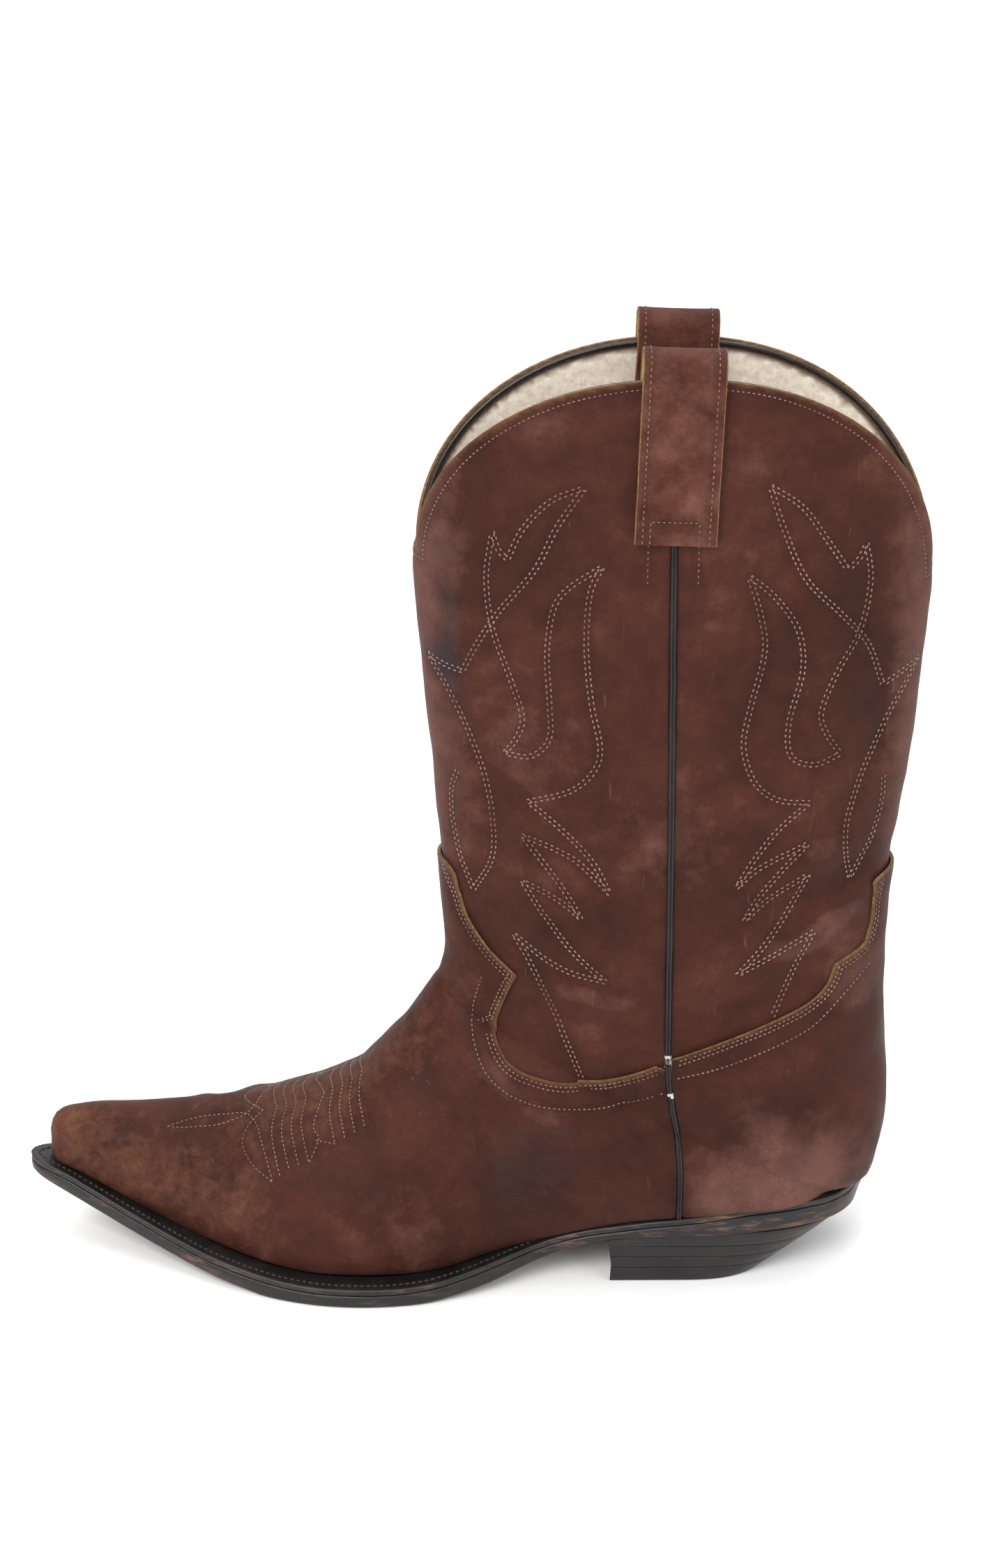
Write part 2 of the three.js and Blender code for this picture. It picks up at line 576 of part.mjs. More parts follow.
// A strip of a path's own width in side view, between two offsets to its left.
function stripOutline(path, from, to) {
  const normals = path.map((point, i) => {
    const before = path[Math.max(i - 1, 0)];
    const after = path[Math.min(i + 1, path.length - 1)];
    const length = Math.hypot(after[0] - before[0], after[1] - before[1]);
    return [-(after[1] - before[1]) / length, (after[0] - before[0]) / length];
  });
  const edge = (offset) => path.map(([a, b], i) => [a + normals[i][0] * offset, b + normals[i][1] * offset]);
  return [...edge(from), ...reversed(edge(to))];
}

function strapStrip(side, from, to, width) {
  const outline = stripOutline(strapPath(), from, to).map(([away, z]) => [side * away, z]);
  const geometry = new THREE.ExtrudeGeometry(shapeOf(outline), { depth: width, bevelEnabled: false });
  geometry.translate(0, 0, -width / 2).rotateX(Math.PI / 2).rotateZ(Math.PI / 2);
  geometry.translate(0, 0, -STRAP_FOOT).rotateY(STRAP_LEAN).translate(STRAP_CENTRE_X, 0, STRAP_FOOT);
  return solidOf(geometry);
}

function makeStraps() {
  const half = (STRAP_LEATHER + GAP + STRAP_LINING) / 2;
  const pieces = {};
  for (const [name, side] of [['outer', -1], ['inner', 1]]) {
    pieces[`pull_strap_${name}`] = strapStrip(side, -half, -half + STRAP_LEATHER, STRAP_WIDTH);
    pieces[`pull_strap_lining_${name}`] = strapStrip(side, half - STRAP_LINING, half, STRAP_WIDTH - 1);
  }
  return pieces;
}

// ------------------------------------------------------------------ bottom

function heelRing({ z, breast, back, halfWidth }) {
  const points = [];
  const straight = lerp(breast, back, HEEL_STRAIGHT);
  const steps = 12;
  for (let k = 0; k <= steps; k += 1) {
    const angle = -Math.PI / 2 + (Math.PI * k) / steps;
    const across = Math.sign(Math.sin(angle)) * Math.abs(Math.sin(angle)) ** (2 / HEEL_SQUARENESS);
    const behind = Math.abs(Math.cos(angle)) ** (2 / HEEL_SQUARENESS);
    points.push(new THREE.Vector3(straight + (back - straight) * behind, halfWidth * across, z));
  }
  points.push(new THREE.Vector3(breast, halfWidth, z), new THREE.Vector3(breast, -halfWidth, z));
  return points;
}

// A headed nail; a positive growth makes the hole that clears it.
function nail(x, y, head, point, growth) {
  const shank = NAIL_RADIUS + growth;
  const cap = NAIL_HEAD_RADIUS + growth;
  const shoulder = head - NAIL_HEAD_HEIGHT - growth;
  const profile = [[0, point - growth], [shank, point + shank], [shank, shoulder], [cap, shoulder],
    [cap, head + growth], [0, head + growth]].map(([r, z]) => new THREE.Vector2(r, z));
  return solidOf(new THREE.LatheGeometry(profile, NAIL_SIDES).rotateX(Math.PI / 2).translate(x, y, 0));
}

// Nails driven down through the seat, with their heads just under the sock.
function seatNails(growth) {
  return HEEL_NAILS.map(([x, y]) => {
    const head = heightAt(FEATHER, x) + INSOLE_THICKNESS - NAIL_RECESS;
    return nail(x, y, head, SEAT_NAIL_POINT, growth);
  });
}

// Nails driven up through the top lift, with their heads just above the walking face.
function liftNails(growth) {
  return TOP_LIFT_NAILS.map(([x, y]) => nail(x, -y, -NAIL_RECESS, -LIFT_NAIL_POINT, growth).rotate([180, 0, 0]));
}

function makeBottom() {
  const plan = prismUp([...SOLE_OUTER, ...SOLE_INNER], -10, 60);
  const innerPlan = prismUp(featherPlan(WELT_INNER_SET, 3), -10, 60);
  const fillerPlan = prismUp(featherPlan(WELT_INNER_SET + GAP, 3), -10, 60);
  const insolePlan = prismUp(featherPlan(INSOLE_INSET, 2), -10, 60);
  const weltRing = bandBetween(weltBottom, weltTop).intersect(plan).subtract(innerPlan);
  const joint = -32; // where the welt ends and the heel rand starts
  const forepart = prismAcross([[-FAR, -20], [joint, -20], [joint, 80], [-FAR, 80]]);
  const seat = prismAcross([[joint + GAP, -20], [FAR, -20], [FAR, 80], [joint + GAP, 80]]);
  const insoleBottom = FEATHER;
  const insoleTop = shifted(FEATHER, 0, INSOLE_THICKNESS);
  const shankPlan = (grow) => prismUp([
    [SHANK.from - grow, -SHANK.halfWidth - grow], [SHANK.to + grow, -SHANK.halfWidth - grow],
    [SHANK.to + grow, SHANK.halfWidth + grow], [SHANK.from - grow, SHANK.halfWidth + grow],
  ], -10, 60);
  const sockPlan = prismUp([[-75, -FAR], [FAR, -FAR], [FAR, FAR], [-75, FAR]], -10, 60);
  return {
    outsole: bandBetween(SOLE_BOTTOM, soleTop).intersect(plan),
    welt: weltRing.intersect(forepart),
    heel_rand: weltRing.intersect(seat),
    cork_filler: bandBetween(weltBottom, weltTop).intersect(fillerPlan).subtract(shankPlan(GAP)),
    steel_shank: bandBetween(weltBottom, shifted(weltBottom, 0, SHANK.thickness)).intersect(shankPlan(0)),
    insole: bandBetween(insoleBottom, insoleTop).intersect(insolePlan),
    heel_sock: bandBetween(shifted(insoleTop, 0, GAP), shifted(insoleTop, 0, GAP + SOCK_THICKNESS))
      .intersect(insolePlan).intersect(sockPlan),
  };
}

function makeHeel() {
  const block = loft(HEEL_RINGS.map(heelRing));
  const level = (z) => [[-60, z], [90, z]];
  const pieces = { top_lift: block.intersect(bandBetween(level(-5), level(HEEL_TOP_LIFT))) };
  let floor = HEEL_TOP_LIFT + GAP;
  for (const number of [1, 2]) {
    pieces[`heel_lift_${number}`] = block.intersect(bandBetween(level(floor), level(floor + HEEL_LIFT)));
    floor += HEEL_LIFT + GAP;
  }
  const front = -36;
  const seat = [[front, heightAt(SOLE_BOTTOM, front)], ...SOLE_BOTTOM.filter(([x]) => x > front)];
  const underSole = shifted(seat, 0, -GAP);
  pieces.heel_wedge = block.intersect(bandBetween([[front, floor], [70, floor]], underSole));
  return pieces;
}

function makeSoleAssembly() {
  const pieces = { ...makeBottom(), ...makeHeel() };
  const cut = (names, holes) => {
    for (const name of names) {
      for (const hole of holes) pieces[name] = pieces[name].subtract(hole);
    }
  };
  cut(['insole', 'cork_filler', 'outsole', 'heel_wedge', 'heel_lift_2', 'heel_lift_1'], seatNails(GAP));
  cut(['top_lift', 'heel_lift_1', 'heel_lift_2'], liftNails(GAP));
  seatNails(0).forEach((solid, k) => { pieces[`heel_nail_${k + 1}`] = solid; });
  liftNails(0).forEach((solid, k) => { pieces[`top_lift_nail_${k + 1}`] = solid; });
  return pieces;
}

// ------------------------------------------------------------------ the assembly

function finishOf(name) {
  if (/nail|shank/.test(name)) return { color: COLOURS.steel, roughness: 0.4, metalness: 1 };
  if (/strap_lining/.test(name)) return { color: COLOURS.strapLining, roughness: 0.85 };
  if (/lining|sock/.test(name)) return { color: COLOURS.lining, roughness: 0.95 };
  if (/piping|bead/.test(name)) return { color: COLOURS.piping, roughness: 0.4 };
  if (/top_lift/.test(name)) return { color: COLOURS.rubber, roughness: 0.7 };
  if (/outsole|welt|rand|heel_lift|wedge/.test(name)) return { color: COLOURS.sole, roughness: 0.35 };
  if (/cork/.test(name)) return { color: COLOURS.cork, roughness: 0.9 };
  if (/insole|toe_box|stiffener|interlining/.test(name)) return { color: COLOURS.board, roughness: 0.9 };
  return { color: COLOURS.nubuck, roughness: 0.85 };
}

function meshOf(name, solid) {
  const { vertProperties, triVerts } = solid.getMesh();
  const rounded = vertProperties.map((value) => Math.round(value / FINEST) * FINEST);
  const cut = new THREE.BufferGeometry();
  cut.setAttribute('position', new THREE.BufferAttribute(rounded, 3));
  cut.setIndex(new THREE.BufferAttribute(triVerts, 1));
  const geometry = weld(cut);
  const mesh = new THREE.Mesh(geometry, new THREE.MeshStandardMaterial(finishOf(name)));
  mesh.name = name;
  return mesh;
}

const boot = new THREE.Group();
const pieces = {
  ...makeUpper(),
  ...makeStiffeners(),
  ...makeLinings(),
  ...makePiping(),
  ...makeTopBead(),
  ...makeStraps(),
  ...makeSoleAssembly(),
};
for (const [name, solid] of Object.entries(pieces)) boot.add(meshOf(name, solid));

export default boot;
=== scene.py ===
"""Looks of the western boot: its leather, thread, linings, piping, straps, welt and heel.

The leather lies on the last, the smooth surface that part.mjs builds the boot on. Shapes are
worked out in millimetres in the CAD frame, and turned into metres where a mesh is made.
"""

import math

import bpy
import numpy as np
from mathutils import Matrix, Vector, kdtree, noise


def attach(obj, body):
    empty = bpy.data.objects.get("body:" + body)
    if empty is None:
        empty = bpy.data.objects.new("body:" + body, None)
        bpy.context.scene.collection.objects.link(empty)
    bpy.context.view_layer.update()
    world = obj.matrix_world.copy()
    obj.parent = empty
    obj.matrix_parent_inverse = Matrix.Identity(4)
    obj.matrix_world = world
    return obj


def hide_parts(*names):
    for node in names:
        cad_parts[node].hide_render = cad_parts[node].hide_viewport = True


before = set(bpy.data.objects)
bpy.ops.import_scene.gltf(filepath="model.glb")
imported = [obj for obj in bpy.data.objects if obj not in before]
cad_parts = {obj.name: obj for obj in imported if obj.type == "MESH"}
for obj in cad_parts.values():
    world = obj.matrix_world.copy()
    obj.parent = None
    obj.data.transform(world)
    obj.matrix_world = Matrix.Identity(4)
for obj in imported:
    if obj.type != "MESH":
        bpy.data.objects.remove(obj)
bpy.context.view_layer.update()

MM = 0.001
BOTH_SIDES = (("outer", -1), ("inner", 1))

# ------------------------------------------------------------------ dimensions

# Most are the CAD's own. The side seams, piping and bead are slimmer, and the toe's tip is rounder.
LEATHER = 1.6
GAP = 0.3
LINING = 1.2
SEAM_HALF_WIDTH = 1.2
HEM = 5
SHAFT_TOP = 338
SEAM_TOP = 334
DIP_FRONT = (-96.6, 273)
DIP_BACK = (76, 266)
SCALLOP_FULLNESS = 2.2
BEAD_RADIUS = 0.9
STRAP = {"width": 27, "leather": 1.5, "lining": 0.8, "crest": 348, "foot": 283, "inner_foot": 268,
         "centre": -11.5, "lean": 0.033}
STRAP_FIXING_X = (-20.2, -3.6)
# How far the loop stands off the shaft: z and clearance, up the outside and down the inside.
STRAP_OUTSIDE = [(STRAP["foot"], 0.9), (300, 1.1), (320, 1.3), (338, 1.5)]
STRAP_INSIDE = [(337, 4.4), (320, 3.7), (300, 2.3), (285, 1.5), (STRAP["inner_foot"], 1.3)]
WELT_THICKNESS = 2.4
WELT_ROW_INSET = 3.1
WELT_ROW_END = -32
SOLE_JOINT = 0.1
TOP_LIFT = 5.4
HEEL_LIFT = 4.2
FAR = 400

# The last: ridge x, z, keel x, z, centre y, then crown, drop, widest, edge y of the outer and inner side.
SECTIONS = np.array([
    [-227.5, 40.0, -227.5, 28.6, 9.5, 0, 0.5, 0, 9.5, 0, 0.5, 0, 9.5],
    [-225.5, 43.8, -225.5, 27.8, 9.5, 4.5, 0.3, 5.5, 6.5, 4, 0.3, 5, 13],
    [-217.5, 45.0, -217.5, 24.6, 9.5, 7.5, 0.3, 9.5, 4.5, 7, 0.3, 8.5, 16],
    [-204, 46.0, -204, 19.4, 8.5, 10, 0.33, 15.5, -0.5, 9.5, 0.33, 13.5, 19.5],
    [-185, 47.5, -185, 13.7, 7, 13.5, 0.38, 25, -9.5, 12.5, 0.38, 22, 26],
    [-165, 50.0, -165, 10.0, 5.5, 17, 0.42, 35, -20.5, 16, 0.4, 30, 32.5],
    [-145, 54.0, -145, 8.0, 4, 20, 0.46, 44, -30, 19, 0.42, 40, 36.5],
    [-125, 62.0, -125, 7.5, 3, 22, 0.5, 50, -34.5, 22, 0.45, 45.5, 36.5],
    [-112, 72.4, -94, 8.3, 2, 23, 0.52, 49.5, -33.5, 23, 0.5, 43.5, 31],
    [-102.5, 84.3, -62, 14.8, 1, 24, 0.55, 44.5, -26.5, 24, 0.55, 39, 25],
    [-95, 94.5, -24, 23.5, 0.5, 24.5, 0.6, 39.5, -27.5, 24.5, 0.6, 37, 26.5],
    [-90.5, 101.5, 17, 26.0, 0, 25, 0.66, 38, -29.5, 25, 0.66, 37, 29],
    [-88.8, 104.6, 41, 26.8, 0, 25.5, 0.76, 42, -24.5, 25.5, 0.76, 41, 24],
    [-88, 106, 59, 28.5, 0, 26, 1, 50, 0, 26, 1, 50, 0],
    [-86.4, 108.5, 65, 41, 0, 27.5, 1, 52, 0, 27.5, 1, 52, 0],
    [-85, 112.5, 66.8, 62, 0, 29, 1, 51, 0, 29, 1, 51, 0],
    [-83.8, 118, 64.5, 91, 0, 31.5, 1, 46, 0, 31.5, 1, 46, 0],
    [-83.5, 127, 63.3, 122, 0, 34, 1, 42, 0, 34, 1, 42, 0],
    [-86, 150, 65, 150, 0, 35, 1, 40, 0, 35, 1, 40, 0],
    [-89.5, 190, 69.5, 190, 0, 34, 1, 38, 0, 34, 1, 38, 0],
    [-93.5, 235, 73.2, 235, 0, 31, 1, 34.5, 0, 31, 1, 34.5, 0],
    [-96.3, 285, 75.5, 285, 0, 28.5, 1, 31, 0, 28.5, 1, 31, 0],
    [-97.5, 342, 76.5, 342, 0, 26.5, 1, 28.5, 0, 26.5, 1, 28.5, 0],
])
CLOSED_FROM = 13
# Section numbers at the waist, and above the top of the vamp and heel cover.
WAIST = 9.5
FOOT_ROWS_END = 18.7
# How far the upper's lower edge stands above the last's own edge round the heel: x and rise.
SEAT_RISE = [(-60, 0), (-24, 1), (2, 2.6), (20, 4.2), (42, 3.8), (58, 1.7), (70, 1.4)]
TOP_SECTION = len(SECTIONS) - 1

SEAM = [(-12.5, 352), (-11.5, 260), (-10.5, 160), (-10, 92), (-8.5, 75), (-6, 60), (-5, 46), (-5, 10)]

# The sole's plan from toe to heel, x and y, then its walking face from the side, x and z.
SOLE_OUTER = [
    (-238.5, 10), (-237.4, 6.5), (-233.5, 2.5), (-225, -2.2), (-212, -8), (-198, -15.5), (-185, -23),
    (-172, -31), (-159, -37.5), (-147, -42.5), (-134, -46), (-122, -47.5), (-110, -47.5), (-97, -46),
    (-85, -43), (-72, -38.5), (-60, -33.5), (-50, -31), (-38, -31), (-25, -32.5), (0, -33.5),
    (22, -31.7), (44, -26), (57, -16), (63, 0),
]
SOLE_INNER = [
    (-238.5, 10), (-237.2, 13), (-232, 17), (-217, 23.2), (-200, 30), (-185, 36), (-170, 41), (-155, 45),
    (-140, 47.5), (-125, 47), (-110, 44), (-95, 39.5), (-80, 35), (-65, 31.5), (-50, 29.5), (-35, 29.5),
    (-20, 30.5), (0, 32.5), (22, 31.7), (44, 26), (57, 16), (63, 0),
]
SOLE_BOTTOM = [
    (-242, 25.5), (-225, 19.7), (-212, 14.4), (-198, 9.6), (-185, 6), (-172, 3.2), (-158, 1), (-147, 0),
    (-100, 0), (-85, 1.5), (-72, 4), (-60, 7.5), (-50, 11), (-40, 14.5), (-30, 17.5), (-10, 19.5), (10, 20),
    (40, 20.5), (70, 21),
]
# The heel's outline at four heights: z, breast x, back x and half width.
HEEL_RINGS = [(0, -29, 30, 31), (7, -28.6, 40, 31), (14, -29.4, 49.5, 31.2), (22.5, -31, 62, 32)]
HEEL_JOINT = 0.05
HEEL_FULLNESS = 2.6
BREAST_HOLLOW = 1.6
TOP_LIFT_NAILS = [(20, 0), (12, 17), (12, -17), (-14, 21), (-14, -21)]

# ------------------------------------------------------------------ design lines, side view x and z

# Each line is a list of runs that meet at sharp corners.
VAMP_TOP = [
    [(-112, 158), (-88, 157.5), (-83, 148), (-80, 139), (-73, 129), (-63, 120)],
    [(-63, 120), (-67, 110), (-70, 98), (-65, 87), (-53, 82), (-37, 81.5), (-22, 86), (-10, 92)],
]
COUNTER_TOP = [
    [(-10, 92), (6, 98), (24, 105), (38, 111), (45, 117), (48, 125)],
    [(48, 125), (53, 126.5), (59, 129)],
    [(59, 129), (61, 138), (61.5, 148), (64, 154), (95, 156)],
]
VAMP_SECOND_ROW = [
    [(-75, 117), (-78, 104), (-77, 92), (-71, 81), (-59, 74), (-43, 72), (-25, 74), (-11, 79)],
]
COUNTER_SECOND_ROW = [[(-7, 85), (8, 89), (24, 95), (38, 101), (46, 107), (52, 113), (61, 121)]]
# The shaft leathers' lower edges, hidden under the vamp and the heel cover.
FRONT_TUCK = np.array([
    (-112, 147), (-92, 147), (-84, 138), (-79, 122), (-79, 100), (-72, 79), (-50, 71), (-22, 75),
    (-9, 80),
])
BACK_TUCK = np.array([(-9, 81), (15, 90), (38, 98), (52, 107), (60, 116), (95, 119)])
FRONT_PATTERN = [
    [(-41, 301), (-52, 296), (-61, 286), (-66, 275)],
    [(-66, 275), (-69, 278), (-71, 284)],
    [(-71, 284), (-73, 268), (-71, 250), (-65, 232), (-61, 219), (-63, 211), (-67, 205)],
    [(-67, 205), (-58, 205), (-52, 212), (-52, 225), (-53, 242), (-51, 258), (-46, 266), (-35, 274)],
    [(-35, 274), (-39, 264), (-40, 245), (-38, 225), (-35, 210), (-37, 201), (-45, 193), (-59, 188)],
    [(-59, 188), (-47, 178), (-37, 167), (-31, 155)],
    [(-31, 155), (-41, 166), (-50, 171), (-61, 175)],
    [(-61, 175), (-51, 162), (-45, 153), (-41, 145)],
    [(-41, 145), (-49, 152), (-61, 158)],
    [(-61, 158), (-52, 143), (-43, 131), (-32, 121)],
    [(-32, 121), (-48, 125), (-64, 136)],
    [(-64, 136), (-58, 126), (-50, 108), (-44, 93), (-40, 82)],
]
FRONT_EDGE_PATTERN = [
    [(-41, 301), (-50, 287), (-57, 272), (-69, 256), (-77, 242), (-81, 233)],
    [(-81, 233), (-87, 234), (-93, 236)],
    [(-93, 236), (-87, 227), (-80, 213), (-74, 197), (-71, 181), (-71, 165), (-78, 150)],
    [(-78, 150), (-82, 162), (-85, 178), (-85, 188), (-83, 195)],
]
BACK_PATTERN = [
    [(19, 302), (30, 294), (38, 283), (46, 271)],
    [(46, 271), (50, 275), (52, 280)],
    [(52, 280), (54, 266), (51, 249), (44, 235), (39, 221), (41, 213), (46, 205)],
    [(46, 205), (37, 202), (29, 206), (28, 218), (32, 236), (30, 251), (22, 263), (13, 271)],
    [(13, 271), (17, 258), (19, 244), (15, 224), (13, 210), (17, 197), (25, 190), (36, 188)],
    [(36, 188), (27, 180), (19, 170), (12, 158)],
    [(12, 158), (20, 165), (36, 173)],
    [(36, 173), (27, 163), (20, 154), (15, 145)],
    [(15, 145), (25, 154), (37, 161)],
    [(37, 161), (30, 147), (22, 135), (13, 124)],
    [(13, 124), (25, 131), (39, 139)],
    [(39, 139), (34, 128), (30, 117), (26, 107)],
]
BACK_EDGE_PATTERN = [
    [(19, 302), (24, 287), (32, 269), (44, 256), (54, 244), (60, 228)],
    [(60, 228), (66, 231), (73, 234)],
    [(73, 234), (65, 221), (58, 207), (52, 190), (49, 173), (52, 156)],
    [(52, 156), (59, 171), (62, 184), (62, 194)],
]
# Stitching over the toe, in plan: x, and y from its own middle line. Each run is sewn on both sides.
TOE_MIDDLE = -2.5
TOE_PATTERN = [
    [(-188, 0), (-180, 1.7), (-172, 2.4), (-165, 1.8), (-159, 0), (-155, -6), (-153, -13), (-149, -25)],
    [(-149, -25), (-156, -19), (-160, -12), (-158, -6), (-153, 0)],
    *[[(x, 0), (x - 1.5, -10), (x, -19), (x + 1.5, -24)] for x in (-148, -144.5, -141, -137.5)],
    [(-136, -24), (-132.5, -18), (-134.5, -13), (-131, 0)],
    [(-134, -18), (-130, -20), (-126, -22)],
    *[[(x, 0), (x - 1, -10), (x + 1, -21)] for x in (-128, -124.5, -121, -117.5)],
]
# Folds in the foot and ankle leather: a side-view line, its half width and its depth.
# A negative depth is a ridge.
FOLD_DEPTH = 1.5
FOLDS = [
    ([(-168, 52), (-166, 40), (-170, 24)], 5, 1.0),
    ([(-176, 52), (-175, 42), (-180, 30)], 4, -0.5),
    ([(-158, 54), (-156, 44), (-158, 30)], 5, -0.6),
    ([(-120, 66), (-112, 52), (-110, 36)], 7, 0.5),
    ([(-100, 88), (-88, 72), (-76, 60)], 7, 0.8),
    ([(-90, 104), (-76, 88), (-60, 74), (-42, 66)], 6, -0.7),
    ([(-60, 112), (-44, 104), (-28, 104)], 5, 0.7),
    ([(-66, 130), (-50, 118), (-30, 114), (-14, 118)], 5, -0.6),
    ([(-80, 152), (-60, 142), (-42, 140)], 6, 0.6),
    ([(64, 164), (50, 158), (30, 150), (14, 150)], 5, 0.9),
    ([(65, 152), (52, 146), (36, 136), (20, 132)], 5, -0.7),
    ([(60, 176), (44, 170), (26, 168)], 6, -0.6),
    ([(40, 120), (24, 114), (4, 112)], 5, 0.7),
    ([(60, 84), (40, 72), (16, 66)], 8, 0.4),
]

# ------------------------------------------------------------------ curves


def lerp(low, high, share):
    return low + (high - low) * share


def smooth(low, high, value):
    """Rises from 0 at low to 1 at high, whichever of them is the larger."""
    share = np.clip((value - low) / (high - low), 0, 1)
    return share * share * (3 - 2 * share)


def spline(points, steps=8):
    """A Catmull-Rom curve through the points, ends included."""
    points = np.array(points, float)
    ends = [2 * points[0] - points[1], *points, 2 * points[-1] - points[-2]]
    out = []
    for before, here, following, after in zip(ends, ends[1:], ends[2:], ends[3:]):
        for k in range(steps):
            u = k / steps
            out.append(0.5 * (2 * here + (following - before) * u
                              + (2 * before - 5 * here + 4 * following - after) * u ** 2
                              + (3 * here - before - 3 * following + after) * u ** 3))
    return np.array([*out, points[-1]])


def line_of(runs, steps=8):
    """One polyline through runs that meet at their corners."""
    curves = [spline(run, steps) for run in runs]
    return np.concatenate([curves[0], *[curve[1:] for curve in curves[1:]]])


def lengths_along(points):
    """Distance along a polyline at each of its points."""
    steps = np.linalg.norm(np.diff(points, axis=0), axis=1)
    return np.concatenate([[0], np.cumsum(steps)])


def resampled(points, count):
    """The polyline with its points evenly spaced."""
    at = lengths_along(points)
    wanted = np.linspace(0, at[-1], count)
    return np.stack([np.interp(wanted, at, points[:, k]) for k in range(points.shape[1])], 1)


def signed_distance(points, outline):
    """Distance of 2-D points from a closed outline, positive inside."""
    distance = np.full(len(points), np.inf)
    crossings = np.zeros(len(points), int)
    x, z = points[:, 0], points[:, 1]
    for a, b in zip(outline, np.roll(outline, -1, axis=0)):
        edge = b - a
        size = edge @ edge
        if size < 1e-12:
            continue
        share = np.clip(((points - a) @ edge) / size, 0, 1)
        distance = np.minimum(distance, np.linalg.norm(points - a - share[:, None] * edge, axis=1))
        spans = (a[1] > z) != (b[1] > z)
        if edge[1]:
            crossings += spans & (x < a[0] + (z - a[1]) * edge[0] / edge[1])
    return np.where(crossings % 2 == 1, distance, -distance)


# ------------------------------------------------------------------ the last's surface


def section_values(t):
    """Rows of section values at fractional section numbers, on Catmull-Rom curves."""
    t = np.clip(t, 0, TOP_SECTION)
    index = np.minimum(t.astype(int), TOP_SECTION - 1)
    u = (t - index)[..., None]
    here, following = SECTIONS[index], SECTIONS[index + 1]
    first = (index == 0)[..., None]
    final = (index == TOP_SECTION - 1)[..., None]
    before = np.where(first, 2 * here - following, SECTIONS[np.maximum(index - 1, 0)])
    after = np.where(final, 2 * following - here, SECTIONS[np.minimum(index + 2, TOP_SECTION)])
    slope_here = (following - before) / 2
    slope_next = (after - here) / 2
    return ((2 * u ** 3 - 3 * u ** 2 + 1) * here + (u ** 3 - 2 * u ** 2 + u) * slope_here
            + (3 * u ** 2 - 2 * u ** 3) * following + (u ** 3 - u ** 2) * slope_next)


def last_point(t, s):
    """Points of the last: t runs from toe to top, s from the outer edge (-1) to the inner one (+1)."""
    t, s = np.broadcast_arrays(np.asarray(t, float), np.asarray(s, float))
    v = section_values(t)
    outer = (s < 0)[..., None]
    side = np.where(s < 0, -1, 1)
    crown, drop, widest, edge_y = np.moveaxis(np.where(outer, v[..., 5:9], v[..., 9:13]), -1, 0)
    edge = np.where(t < CLOSED_FROM, edge_y, 0)
    w = np.abs(s)
    b0, b1, b2, b3 = (1 - w) ** 3, 3 * w * (1 - w) ** 2, 3 * w * w * (1 - w), w ** 3
    along = b2 * drop + b3
    y = (b0 + b1 + b2) * v[..., 4] + side * (b1 * crown + b2 * widest) + b3 * edge
    return np.stack([lerp(v[..., 0], v[..., 2], along), y, lerp(v[..., 1], v[..., 3], along)], -1)


def last_normal(t, s):
    """Unit normals of the last, outwards, without a sideways part where its halves meet."""
    t, s = np.broadcast_arrays(np.asarray(t, float), np.asarray(s, float))
    step = 1e-3
    along = last_point(t + step, s) - last_point(t - step, s)
    around = last_point(t, np.minimum(1, s + step)) - last_point(t, np.maximum(-1, s - step))
    out = np.cross(along, around)
    back = (np.abs(s) == 1) & (t >= CLOSED_FROM)
    out[back] = np.stack([along[..., 2], 0 * s, -along[..., 0]], -1)[back]
    out[t <= 0] = (-1, 0, 0)
    return out / np.maximum(np.linalg.norm(out, axis=-1, keepdims=True), 1e-12)


def offset_point(t, s, distance):
    """Points off the last; where s runs past its edge the wall hangs on below the feather line."""
    edge = np.clip(s, -1, 1)
    points = last_point(t, edge) + last_normal(t, edge) * np.asarray(distance)[..., None]
    hang = np.where(np.asarray(t) < CLOSED_FROM, np.abs(s) - np.abs(edge), 0) * HEM
    points[..., 2] -= hang
    return points


def locate(wanted, side, offset, axes=(0, 2)):
    """The (t, s) whose offset points have the wanted coordinates along two axes. Newton's method."""
    seeds_t, seeds_s = np.meshgrid(np.arange(1, TOP_SECTION, 0.25), side * np.linspace(0.04, 0.96, 24))
    seeds = offset_point(seeds_t.ravel(), seeds_s.ravel(), offset)[:, axes]
    nearest = ((wanted[:, None] - seeds[None]) ** 2).sum(-1).argmin(1)
    t, s = seeds_t.ravel()[nearest], seeds_s.ravel()[nearest]
    step = 1e-3
    for _ in range(10):
        here = offset_point(t, s, offset)[:, axes]
        by_t = (offset_point(t + step, s, offset)[:, axes] - here) / step
        by_s = (offset_point(t, s + step, offset)[:, axes] - here) / step
        miss = wanted - here
        area = by_t[:, 0] * by_s[:, 1] - by_s[:, 0] * by_t[:, 1]
        area = np.where(np.abs(area) < 1e-9, 1e-9, area)
        t = t + np.clip((miss[:, 0] * by_s[:, 1] - by_s[:, 0] * miss[:, 1]) / area, -0.5, 0.5)
        s = s + np.clip((by_t[:, 0] * miss[:, 1] - miss[:, 0] * by_t[:, 1]) / area, -0.1, 0.1)
        t = np.clip(t, 0.2, TOP_SECTION - step)
        s = side * np.clip(side * s, 0.002, 0.998)
    return t, s


def top_edge(x, inset=0):
    """Height of the scalloped top edge over x; a positive inset gives the parallel edge inside it."""
    front, back = DIP_FRONT[0] + inset, DIP_BACK[0] - inset
    u = np.clip((2 * (x - front)) / (back - front) - 1, -1, 1)
    dip = lerp(DIP_FRONT[1], DIP_BACK[1], (u + 1) / 2) - inset
    return dip + (SHAFT_TOP - inset - dip) * np.sqrt(1 - np.abs(u) ** SCALLOP_FULLNESS)


